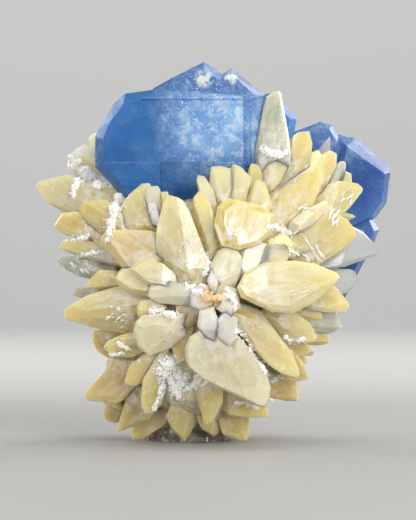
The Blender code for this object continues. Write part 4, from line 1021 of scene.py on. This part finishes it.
def druse_seat(point, direction, size, chance):
    """The seat of a small crystal that points about this way."""
    turn = direction.to_track_quat("Z", "Y").to_matrix() @ Matrix.Rotation(chance.uniform(0, math.pi), 3, "Z")
    return point, turn, Vector((size, size, size * chance.uniform(*DRUSE_STRETCH)))


def front_hit(tree, x, z):
    """Where a line from the front meets the surface at a front view point."""
    return tree.ray_cast(Vector((x * MM, -0.2, z * MM)), BACK)


def place_on_stroke(stroke, share):
    """The point at this share of the length of a line in the front view."""
    legs = [math.dist(start, end) for start, end in zip(stroke, stroke[1:])]
    left = share * sum(legs)
    for (start, end), leg in zip(zip(stroke, stroke[1:]), legs):
        if left <= leg:
            break
        left -= leg
    part = min(1.0, left / leg)
    return start[0] + (end[0] - start[0]) * part, start[1] + (end[1] - start[1]) * part


def stroke_seats(tree, chance):
    """Seats for the white druse of the front, stroke by stroke."""
    seats = []
    for stroke, half_width, count, size in DRUSE_STROKES:
        for _ in range(count):
            x, z = place_on_stroke(stroke, chance.uniform(-0.02, 1.0))
            aside = chance.gauss(0, 0.6)
            turn = chance.uniform(0, 2 * math.pi)
            x += half_width * aside * math.cos(turn)
            z += half_width * aside * math.sin(turn)
            point, normal, _, _ = front_hit(tree, x, z)
            if point is None:
                continue
            wobble = Vector([chance.uniform(-0.7, 0.7) for _ in range(3)])
            grown = size * MM * chance.uniform(0.5, 1.25) / (1 + abs(aside) * 0.5)
            point = point + normal * chance.uniform(-DRUSE_PILE, DRUSE_PILE) * grown
            seats.append(druse_seat(point, (normal + wobble).normalized(), grown, chance))
    return seats


def druse_beds(tree, chance):
    """The frosty masses that the white druse sits on: small lumps in a row along each stroke."""
    made = []
    for stroke, half_width, _, _ in DRUSE_STROKES:
        length = sum(math.dist(start, end) for start, end in zip(stroke, stroke[1:]))
        count = max(2, round(length / BED_SPACING / half_width))
        for number in range(count):
            x, z = place_on_stroke(stroke, (number + 0.5) / count)
            x += chance.uniform(-0.5, 0.5) * half_width
            z += chance.uniform(-0.5, 0.5) * half_width
            point, normal, _, _ = front_hit(tree, x, z)
            if point is None:
                continue
            size = half_width * chance.uniform(*BED_SIZE)
            deselect_all()
            bpy.ops.mesh.primitive_ico_sphere_add(
                subdivisions=3, radius=size * MM, location=point - normal * BED_SUNK * size * MM)
            bpy.ops.object.transform_apply(location=True)
            made.append(bpy.context.object)
    beds = join(made, "druse_beds")
    roughen(beds, "bed lumps", BED_ROUGH_SIZE, BED_ROUGHNESS)
    beds.data.materials.append(druse_white)
    return beds


def in_a_gap(tree, point, outward):
    """Whether crystals stand close on at least two sides of a point."""
    sideways = outward.orthogonal().normalized()
    around = outward.cross(sideways).normalized()
    walls = 0
    for direction in (sideways, -sideways, around, -around):
        if tree.ray_cast(point, direction, GAP_WIDTH)[0] is not None:
            walls += 1
    return walls >= GAP_WALLS


def gap_seats(tree, calcite_faces, chance):
    """Seats for the druse that lines the gaps between the crystals all round."""
    seats = []
    heart = HEART * MM
    for _ in range(GAP_TRIES):
        out = Vector([chance.gauss(0, 1) for _ in range(3)]).normalized()
        start = heart + out * 0.15
        aim = heart + Vector([chance.uniform(-1, 1) * reach * MM for reach in GAP_AIM])
        point, normal, face, _ = tree.ray_cast(start, (aim - start).normalized())
        if point is None or face >= calcite_faces or point.z < GAP_LOWEST:
            continue
        away = point - heart
        depth = Vector([away[i] / (GAP_SHELL[i] * MM) for i in range(3)]).length
        if depth > 1 or not in_a_gap(tree, point + normal * GAP_CLEAR, away):
            continue
        wobble = Vector([chance.uniform(-0.6, 0.6) for _ in range(3)])
        seats.append(druse_seat(point, (normal + wobble).normalized(), MM * chance.uniform(*GAP_SIZE), chance))
    return seats


def chip_seats(tree, chance):
    """Seats for the bright cleavage chips, painted glints that lie along the faces and lean a little either way."""
    seats = []
    for centre, reach, count, length, breadth, direction in CHIP_PATCHES:
        for _ in range(count):
            turn = chance.uniform(0, 2 * math.pi)
            share = math.sqrt(chance.random())
            x = centre[0] + reach[0] * share * math.cos(turn)
            z = centre[1] + reach[1] * share * math.sin(turn)
            point, normal, _, _ = front_hit(tree, x, z)
            if point is None:
                continue
            wobble = Vector([chance.uniform(-CHIP_TILT, CHIP_TILT) for _ in range(3)])
            up = (normal + wobble).normalized()
            angle = math.radians(direction + chance.gauss(0, 9))
            along = Vector((math.cos(angle), 0, math.sin(angle)))
            along = (along - up * along.dot(up)).normalized()
            grown = chance.uniform(0.3, 0.8)
            size = Vector((length * grown, breadth * grown * chance.uniform(*CHIP_BREADTH), 1.0)) * MM
            seats.append((point + normal * CHIP_RISE * MM, Matrix((along, up.cross(along), up)).transposed(), size))
    return seats


def dressed_copy(node_name, name):
    """A copy of a celestite solid with its faces merged and its edges rounded."""
    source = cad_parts[node_name]
    deselect_all()
    piece = source.copy()
    piece.data = source.data.copy()
    piece.name = name
    piece.parent = None
    bpy.context.scene.collection.objects.link(piece)
    piece.matrix_world = source.matrix_world.copy()
    piece.select_set(True)
    bpy.context.view_layer.objects.active = piece
    bpy.ops.object.transform_apply(location=True, rotation=True, scale=True)
    bpy.ops.object.mode_set(mode="EDIT")
    bpy.ops.mesh.select_all(action="SELECT")
    bpy.ops.mesh.remove_doubles(threshold=0.00002)
    bpy.ops.mesh.dissolve_limited(angle_limit=FLAT_ENOUGH)
    bpy.ops.mesh.normals_make_consistent(inside=False)
    bpy.context.tool_settings.mesh_select_mode = (False, True, False)
    mesh = bmesh.from_edit_mesh(piece.data)
    bpy.ops.mesh.select_all(action="DESELECT")
    for edge in mesh.edges:
        if len(edge.link_faces) == 2 and edge.calc_face_angle() > math.radians(8):
            edge.select_set(True)
    bpy.ops.mesh.bevel(offset=0.0003, segments=2, affect="EDGES", clamp_overlap=True)
    bpy.ops.object.mode_set(mode="OBJECT")
    piece.data.materials.clear()
    return piece


def new_material(name):
    """A material with only a Principled shader, its node tree and that shader."""
    made = bpy.data.materials.new(name)
    made.use_nodes = True
    tree = made.node_tree
    tree.nodes.clear()
    shader = tree.nodes.new("ShaderNodeBsdfPrincipled")
    output = tree.nodes.new("ShaderNodeOutputMaterial")
    tree.links.new(shader.outputs["BSDF"], output.inputs["Surface"])
    tree.nodes.new("ShaderNodeTexCoord").name = "Place"
    return made, tree, shader


def put(socket, value):
    """Sets a socket, or links it when the value is an output."""
    if isinstance(value, bpy.types.NodeSocket):
        socket.node.id_data.links.new(value, socket)
    else:
        socket.default_value = value


def cloudy(tree, scale, detail=3.0, distortion=0.0, where=None, output="Fac"):
    """A noise pattern on the object's own place."""
    made = tree.nodes.new("ShaderNodeTexNoise")
    put(made.inputs["Vector"], where or tree.nodes["Place"].outputs["Object"])
    made.inputs["Scale"].default_value = scale
    made.inputs["Detail"].default_value = detail
    made.inputs["Distortion"].default_value = distortion
    return made.outputs[output]


def spread(tree, source, low, high, to_low=0.0, to_high=1.0):
    """Maps one range of values to another, and holds at its ends."""
    made = tree.nodes.new("ShaderNodeMapRange")
    put(made.inputs["Value"], source)
    for name, value in zip(("From Min", "From Max", "To Min", "To Max"), (low, high, to_low, to_high)):
        made.inputs[name].default_value = value
    return made.outputs["Result"]


def times(tree, first, second, operation="MULTIPLY"):
    made = tree.nodes.new("ShaderNodeMath")
    made.operation = operation
    put(made.inputs[0], first)
    put(made.inputs[1], second)
    return made.outputs["Value"]


def mixed(tree, share, first, second):
    """One colour passing into another."""
    made = tree.nodes.new("ShaderNodeMix")
    made.data_type = "RGBA"
    put(made.inputs["Factor"], share)
    put(made.inputs["A"], first)
    put(made.inputs["B"], second)
    return made.outputs["Result"]


def relief(tree, height, distance, strength=1.0, below=None):
    """Bump from a height pattern, in metres, on top of the relief below."""
    made = tree.nodes.new("ShaderNodeBump")
    made.inputs["Strength"].default_value = strength
    made.inputs["Distance"].default_value = distance
    put(made.inputs["Height"], height)
    if below is not None:
        put(made.inputs["Normal"], below)
    return made.outputs["Normal"]


def stored(tree, name, output="Fac"):
    """A value stored on the piece."""
    made = tree.nodes.new("ShaderNodeAttribute")
    made.attribute_name = name
    return made.outputs[output]


def near_place(tree, place, reach):
    """One at a place on the object, falling to nothing at its reach."""
    made = tree.nodes.new("ShaderNodeVectorMath")
    made.operation = "DISTANCE"
    put(made.inputs[0], tree.nodes["Place"].outputs["Object"])
    made.inputs[1].default_value = place
    return spread(tree, made.outputs["Value"], 0.0, reach, 1.0, 0.0)


def tinted(tree, share, colour, tint):
    """A colour with a part of it taken down by a tint."""
    made = tree.nodes.new("ShaderNodeMix")
    made.data_type = "RGBA"
    made.blend_type = "MULTIPLY"
    put(made.inputs["Factor"], share)
    put(made.inputs["A"], colour)
    put(made.inputs["B"], tint)
    return made.outputs["Result"]


def fine_lines(tree, pattern, middle, width):
    """Thin lines where a pattern passes a value."""
    rising = spread(tree, pattern, middle - width, middle)
    falling = spread(tree, pattern, middle, middle + width, 1.0, 0.0)
    return times(tree, rising, falling)


def specks(tree, scale, size, share_low, share_high):
    """Sparse small dots."""
    dots = tree.nodes.new("ShaderNodeTexVoronoi")
    put(dots.inputs["Vector"], tree.nodes["Place"].outputs["Object"])
    dots.inputs["Scale"].default_value = scale
    near = spread(tree, dots.outputs["Distance"], size * 0.6, size, 1.0, 0.0)
    return times(tree, near, spread(tree, cloudy(tree, scale * 0.3, 2), share_low, share_high))


def growth_place(tree, scale_across, scale_along, waver=0.0):
    """The place along and across each crystal, in its own scale, bent a little where asked."""
    place = tree.nodes.new("ShaderNodeUVMap")
    place.uv_map = "growth"
    stretch = tree.nodes.new("ShaderNodeMapping")
    put(stretch.inputs["Vector"], place.outputs["UV"])
    stretch.inputs["Scale"].default_value = (scale_across, scale_along, 1.0)
    if not waver:
        return stretch.outputs["Vector"]
    bend = tree.nodes.new("ShaderNodeVectorMath")
    bend.operation = "MULTIPLY_ADD"
    put(bend.inputs[0], cloudy(tree, 150, 2, output="Color"))
    bend.inputs[1].default_value = (waver, waver, waver)
    put(bend.inputs[2], stretch.outputs["Vector"])
    return bend.outputs["Vector"]


def growth_lines(tree, scale_across, scale_along, detail=3.0):
    """Noise drawn out along each crystal, for its striations."""
    return cloudy(tree, 1.0, detail, 0.3, growth_place(tree, scale_across, scale_along))


def inner_planes(tree, scale_across, scale_along):
    """A value for each of many flat patches, as cleavage planes inside the crystal show them."""
    planes = tree.nodes.new("ShaderNodeTexVoronoi")
    put(planes.inputs["Vector"], growth_place(tree, scale_across, scale_along, 0.25))
    planes.inputs["Scale"].default_value = 1.0
    return planes.outputs["Color"]


def zoning(tree, lines_per_mm):
    """Growth lines that follow the outline of each crystal, wavering a little."""
    waver = times(tree, cloudy(tree, 130, 2), ZONE_WAVER)
    place = times(tree, stored(tree, "zone"), waver, "ADD")
    made = tree.nodes.new("ShaderNodeTexNoise")
    made.noise_dimensions = "1D"
    put(made.inputs["W"], place)
    made.inputs["Scale"].default_value = lines_per_mm
    made.inputs["Detail"].default_value = 2.0
    return made.outputs["Fac"]


def stepped(tree, pattern, count):
    """A pattern turned into this many flat steps."""
    return times(tree, times(tree, times(tree, pattern, float(count)), 0.0, "FLOOR"), 1.0 / count)


def calcite_relief(tree):
    """Growth steps along and around each crystal, broken planes and soft waves."""
    steps = relief(tree, stepped(tree, growth_lines(tree, 0.3, 0.045, 1.5), 12), 0.0009, 0.8)
    rings = relief(tree, zoning(tree, 1.2), 0.00012, 0.6, steps)
    planes = relief(tree, inner_planes(tree, 0.3, 0.14), 0.00005, 0.6, rings)
    return relief(tree, cloudy(tree, 130, 1), 0.0003, 0.7, planes)


def make_calcite():
    """Cream to honey calcite: inner planes, partly painted inner reflections, milky streaks, frosty inner ends,
    painted shade in the body and towards the inner ends, a painted glow and painted highlight lines at the rims,
    specks, a stain.
    """
    made, tree, shader = new_material("calcite")
    along = stored(tree, "along")
    zone = stored(tree, "zone")
    colour = stored(tree, "tint", "Color")
    # Painted shade: darker in the body, away from the outline, where less light would pass through
    body_shade = times(tree, spread(tree, cloudy(tree, 70, 2, 0.2), 0.3, 0.65, 0.45, 1.0),
                   spread(tree, zone, 0.3, 4.0, 0.0, 0.95))
    colour = tinted(tree, body_shade, colour, BODY_SHADE_TINT)
    # Inner planes: darker and milky patches, partly real cleavage planes and partly painted inner reflections and
    # shade
    colour = tinted(tree, spread(tree, inner_planes(tree, 0.24, 0.12), 0.35, 0.8, 0.0, 0.5), colour, BODY_SHADE_TINT)
    colour = mixed(tree, spread(tree, inner_planes(tree, 0.7, 0.3), 0.6, 0.9, 0.0, 0.35), colour, MILK_COLOUR)
    # Painted shade: tan towards the inner end of each crystal, where crystals overlap, less on frosty ones
    root_shade = times(tree, spread(tree, along, 0.55, -0.7), spread(tree, cloudy(tree, 90, 3), 0.3, 0.6, 0.4, 1.0))
    root_shade = times(tree, root_shade, spread(tree, stored(tree, "rim"), 0.0, 0.4))
    colour = tinted(tree, root_shade, colour, ROOT_SHADE_TINT)
    streaks = spread(tree, growth_lines(tree, 0.7, 0.08, 4.0), 0.45, 0.75, 0.0, 0.4)
    colour = mixed(tree, streaks, colour, MILK_COLOUR)
    wisps = spread(tree, cloudy(tree, 380, 5, 0.4), 0.55, 0.75, 0.0, 0.4)
    colour = mixed(tree, wisps, colour, MILK_COLOUR)
    frost = times(tree, spread(tree, along, 0.3, -0.5), spread(tree, cloudy(tree, 420, 6), 0.42, 0.62))
    colour = mixed(tree, times(tree, frost, 0.7), colour, FROST_COLOUR)
    rim = stored(tree, "rim")
    # Painted glow: yellow near the outline and at the tip, as if light passed through the thin edges
    edge = spread(tree, zone, 1.9, 0.3, 0.0, 0.85)
    glow = times(tree, edge, spread(tree, along, 0.5, 1.1, 0.0, 0.8), "MAXIMUM")
    colour = mixed(tree, times(tree, rim, glow), colour, RIM_GLOW_COLOUR)
    # Painted highlight: a thin pale line along each crystal's outline, as light caught on its edge
    line = times(tree, spread(tree, zone, 0.5, 0.2), times(tree, rim, 0.8))
    colour = mixed(tree, line, colour, RIM_HIGHLIGHT_COLOUR)
    colour = mixed(tree, specks(tree, 330, 0.09, 0.62, 0.68), colour, SPECK_COLOUR)
    stain = times(tree, near_place(tree, STAIN_PLACE, 0.006),
                  spread(tree, cloudy(tree, 900), 0.35, 0.65, 0.3, 1.6))
    colour = mixed(tree, stain, colour, STAIN_COLOUR)
    put(shader.inputs["Base Color"], colour)
    put(shader.inputs["Roughness"], spread(tree, cloudy(tree, 160, 2), 0.35, 0.7, 0.16, 0.34))
    shader.inputs["Coat Weight"].default_value = 0.25
    shader.inputs["Coat Roughness"].default_value = 0.08
    shader.inputs["IOR"].default_value = 1.55
    shader.inputs["Subsurface Weight"].default_value = 0.9
    shader.inputs["Subsurface Radius"].default_value = (0.8, 0.85, 0.9)
    shader.inputs["Subsurface Scale"].default_value = 0.004
    shader.inputs["Transmission Weight"].default_value = 0.25
    put(shader.inputs["Normal"], calcite_relief(tree))
    return made


def make_clear_calcite():
    """Glassy calcite that lets through most of what is behind it, with milky wisps and striations."""
    made, tree, shader = new_material("clear_calcite")
    colour = mixed(tree, spread(tree, cloudy(tree, 260, 4, 0.8), 0.4, 0.75), CLEAR_COLOUR, CLEAR_SHADE)
    streaks = spread(tree, growth_lines(tree, 1.6, 0.12, 4.0), 0.5, 0.68, 0.0, 0.7)
    colour = mixed(tree, streaks, colour, FROST_COLOUR)
    put(shader.inputs["Base Color"], colour)
    put(shader.inputs["Roughness"], spread(tree, cloudy(tree, 300, 4), 0.35, 0.75, 0.04, 0.2))
    shader.inputs["IOR"].default_value = 1.55
    shader.inputs["Transmission Weight"].default_value = 0.6
    shader.inputs["Subsurface Weight"].default_value = 0.8
    shader.inputs["Subsurface Radius"].default_value = (0.9, 1.0, 1.0)
    shader.inputs["Subsurface Scale"].default_value = 0.002
    put(shader.inputs["Normal"], calcite_relief(tree))
    return made


def make_glint_cleavage():
    """Fresh pearly cleavage, near white, as painted glints as well as glossy reflections."""
    made, tree, shader = new_material("cleavage")
    put(shader.inputs["Base Color"], mixed(
        tree, cloudy(tree, 800), (0.95, 0.94, 0.90, 1.0), (0.88, 0.85, 0.74, 1.0)))
    put(shader.inputs["Roughness"], spread(tree, cloudy(tree, 900), 0.3, 0.7, 0.08, 0.3))
    shader.inputs["IOR"].default_value = 1.6
    shader.inputs["Subsurface Weight"].default_value = 0.3
    shader.inputs["Subsurface Radius"].default_value = (1.0, 0.8, 0.5)
    shader.inputs["Subsurface Scale"].default_value = 0.003
    put(shader.inputs["Normal"], relief(tree, cloudy(tree, 1500, 3), 0.00005))
    return made


def make_druse(name, near, far):
    """Tiny sugary crystals."""
    made, tree, shader = new_material(name)
    colour = mixed(tree, spread(tree, cloudy(tree, 500), 0.35, 0.65), near, far)
    stain = times(tree, near_place(tree, STAIN_PLACE, 0.005), spread(tree, cloudy(tree, 700), 0.3, 0.6, 0.4, 2.2))
    put(shader.inputs["Base Color"], mixed(tree, stain, colour, STAIN_COLOUR))
    put(shader.inputs["Roughness"], spread(tree, cloudy(tree, 2500), 0.3, 0.7, 0.25, 0.5))
    shader.inputs["IOR"].default_value = 1.5
    return made


def growth_terraces(tree, scale):
    """Straight-edged terraces, each with its own value."""
    terraces = tree.nodes.new("ShaderNodeTexVoronoi")
    terraces.distance = "CHEBYCHEV"
    put(terraces.inputs["Vector"], tree.nodes["Place"].outputs["Object"])
    terraces.inputs["Scale"].default_value = scale
    terraces.inputs["Randomness"].default_value = 0.8
    return terraces.outputs["Color"]


def in_box(tree, sides, softness):
    """One inside a box of the front view (left, right, bottom, top), in metres."""
    parts = tree.nodes.new("ShaderNodeSeparateXYZ")
    put(parts.inputs[0], tree.nodes["Place"].outputs["Object"])
    left, right, bottom, top = sides
    inside = times(tree, spread(tree, parts.outputs["X"], left, left + softness),
                   spread(tree, parts.outputs["X"], right, right - softness))
    upright = times(tree, spread(tree, parts.outputs["Z"], bottom, bottom + softness),
                    spread(tree, parts.outputs["Z"], top, top - softness))
    return times(tree, inside, upright)


def make_celestite(name, deep, light, veils, inclusions, ledges):
    """Clear blue celestite with deeper and lighter zones, growth ledges and milky speckled veils."""
    made, tree, shader = new_material(name)
    colour = mixed(tree, spread(tree, cloudy(tree, 40, 3, 0.2), 0.36, 0.66), deep, light)
    sparkle = times(tree, specks(tree, 1500, 0.3, 0.42, 0.6), 0.25)
    for place, reach, strength in veils:
        near = near_place(tree, place, reach)
        haze = times(tree, near, spread(tree, cloudy(tree, 75, 9, 0.3), 0.32, 0.66, 0.5, 1.8))
        colour = mixed(tree, times(tree, haze, strength), colour, HAZE_COLOUR)
        grains = times(tree, haze, spread(tree, cloudy(tree, 420, 9, 0.5), 0.47, 0.66))
        colour = mixed(tree, times(tree, grains, strength), colour, VEIL_COLOUR)
        sparkle = times(tree, sparkle, times(tree, near, specks(tree, 1300, 0.34, 0.42, 0.6)), "ADD")
    colour = tinted(tree, spread(tree, growth_terraces(tree, 80), 0.4, 0.8, 0.0, 0.5), colour, TERRACE_TINT)
    steps = relief(tree, growth_terraces(tree, 80), 0.0003, 0.8)
    for sides, tint in ledges:
        inside = in_box(tree, sides, LEDGE_SOFTNESS)
        colour = tinted(tree, times(tree, inside, 0.85), colour, tint)
        steps = relief(tree, inside, LEDGE_DEPTH, 1.0, steps)
    colour = mixed(tree, sparkle, colour, VEIL_COLOUR)
    for place, reach in inclusions:
        bright = times(tree, near_place(tree, place, reach), spread(tree, cloudy(tree, 640, 6), 0.38, 0.56, 0.0, 2.4))
        colour = mixed(tree, bright, colour, INCLUSION_COLOUR)
    put(shader.inputs["Base Color"], colour)
    put(shader.inputs["Roughness"], spread(tree, cloudy(tree, 200, 4), 0.35, 0.75, 0.16, 0.38))
    shader.inputs["IOR"].default_value = 1.62
    shader.inputs["Specular IOR Level"].default_value = 0.3
    shader.inputs["Transmission Weight"].default_value = 0.35
    shader.inputs["Subsurface Weight"].default_value = 0.6
    shader.inputs["Subsurface Radius"].default_value = (0.5, 0.75, 1.0)
    shader.inputs["Subsurface Scale"].default_value = 0.003
    put(shader.inputs["Normal"], relief(tree, cloudy(tree, 600, 3), 0.00005, 0.7, steps))
    return made


def make_plain(name, colour, roughness):
    made, tree, shader = new_material(name)
    put(shader.inputs["Base Color"], colour)
    put(shader.inputs["Roughness"], roughness)
    return made


def build_studio():
    """The camera, the pale floor with its curved back, and soft lights."""
    target = Vector(CAMERA_TARGET)
    back = Vector((0, -math.cos(CAMERA_HEIGHT_ANGLE), math.sin(CAMERA_HEIGHT_ANGLE)))
    deselect_all()
    bpy.ops.object.camera_add(location=target + back * CAMERA_DISTANCE)
    camera = bpy.context.object
    camera.rotation_euler = (-back).to_track_quat("-Z", "Y").to_euler()
    camera.data.sensor_fit = "VERTICAL"
    camera.data.sensor_height = CAMERA_SENSOR
    camera.data.lens = CAMERA_LENS
    camera.data.clip_start = 0.01
    camera.data.clip_end = 20
    bpy.context.scene.camera = camera
    for name, place, size, power, colour in LIGHTS:
        bpy.ops.object.light_add(type="AREA", location=place)
        light = bpy.context.object
        light.name = name
        light.data.shape = "RECTANGLE"
        light.data.size, light.data.size_y = size
        light.data.energy = power
        light.data.color = colour
        light.rotation_euler = (Vector(LIGHT_TARGET) - Vector(place)).to_track_quat("-Z", "Y").to_euler()
    place, size, power = BACKDROP_LIGHT
    bpy.ops.object.light_add(type="AREA", location=place, rotation=(math.radians(80), 0, 0))
    light = bpy.context.object
    light.name = "backdrop light"
    light.data.shape = "RECTANGLE"
    light.data.size, light.data.size_y = size
    light.data.energy = power
    deselect_all()
    bpy.ops.mesh.primitive_plane_add(size=FLOOR_SIZE, location=(0, 0, 0))
    floor = bpy.context.object
    floor.name = "floor"
    bpy.ops.object.mode_set(mode="EDIT")
    mesh = bmesh.from_edit_mesh(floor.data)
    bpy.ops.mesh.select_all(action="DESELECT")
    for edge in mesh.edges:
        edge.select_set(min(corner.co.y for corner in edge.verts) > 0)
    bpy.context.tool_settings.mesh_select_mode = (False, True, False)
    bpy.ops.mesh.extrude_region_move(TRANSFORM_OT_translate={"value": (0, 0, FLOOR_SIZE / 2)})
    mesh = bmesh.from_edit_mesh(floor.data)
    bpy.ops.mesh.select_all(action="DESELECT")
    for edge in mesh.edges:
        edge.select_set(len(edge.link_faces) == 2)
    bpy.ops.mesh.bevel(offset=FLOOR_SIZE / 6, segments=12, affect="EDGES")
    bpy.ops.object.mode_set(mode="OBJECT")
    bpy.ops.object.shade_smooth()
    floor.data.materials.append(make_plain("floor", FLOOR_COLOUR, 0.55))
    world = bpy.data.worlds.new("studio")
    world.use_nodes = True
    world.node_tree.nodes["Background"].inputs["Color"].default_value = WORLD_COLOUR
    world.node_tree.nodes["Background"].inputs["Strength"].default_value = WORLD_STRENGTH
    bpy.context.scene.world = world
    bpy.context.scene.view_settings.view_transform = "Standard"


def finish_piece(piece, slot_name, *nodes):
    """Hangs a piece under the root body and hides the nodes it stands in for."""
    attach(piece, "root")
    if nodes:
        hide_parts(*nodes)


build_studio()
calcite = make_calcite()
calcite_clear = make_clear_calcite()
# The cleavage chips are near white, as painted glints, besides reflecting the lamps from their glossy faces
cleavage = make_glint_cleavage()
druse_white = make_druse("druse_white", (0.92, 0.93, 0.94, 1.0), (0.86, 0.84, 0.76, 1.0))
# The druse of the gaps is tan, partly its own colour and partly painted shade for gaps that lie in shadow
druse_tan = make_druse("druse_tan", (0.82, 0.78, 0.64, 1.0), (0.74, 0.63, 0.40, 1.0))

sockets = [grown_copy(node_name) for node_name, *_ in CELESTITE_FINISHES]
rock = massive_calcite(sockets)
cluster = join(
    front_crystals() + back_crystals() + band_crystals()
    + hem_crystals(*HEM_BACK) + hem_crystals(*HEM_FRONT), "calcite_crystals")
skin = surface_of_all([cluster, rock])
chance = random.Random(DRUSE_SEED)
shape = small_crystal("druse_seed", DRUSE_SHAPE)
beds = druse_beds(skin, chance)
white_druse = crust("white_druse", stroke_seats(surface_of_all([cluster, rock, beds]), chance), shape, druse_white)
both = surface_of_all([cluster, rock, *sockets])
calcite_faces = len(cluster.data.polygons) + len(rock.data.polygons)
gap_druse = crust("gap_druse", gap_seats(both, calcite_faces, chance), shape, druse_tan)
deselect_all()
for socket in sockets:
    socket.select_set(True)
bpy.ops.object.delete()
chip_shape = small_crystal("chip_seed", CHIP_SHAPE)
chips = crust("cleavage_glint_chips", chip_seats(skin, chance), chip_shape, cleavage)

for node_name, *finish in CELESTITE_FINISHES:
    piece = dressed_copy(node_name, node_name + "_crystal")
    piece.data.materials.append(make_celestite(node_name, *finish))
    finish_piece(piece, "celestite", node_name)

finish_piece(cluster, "calcite", "calcite_cluster")
for piece in (rock, beds, white_druse, gap_druse, chips):
    finish_piece(piece, "calcite")
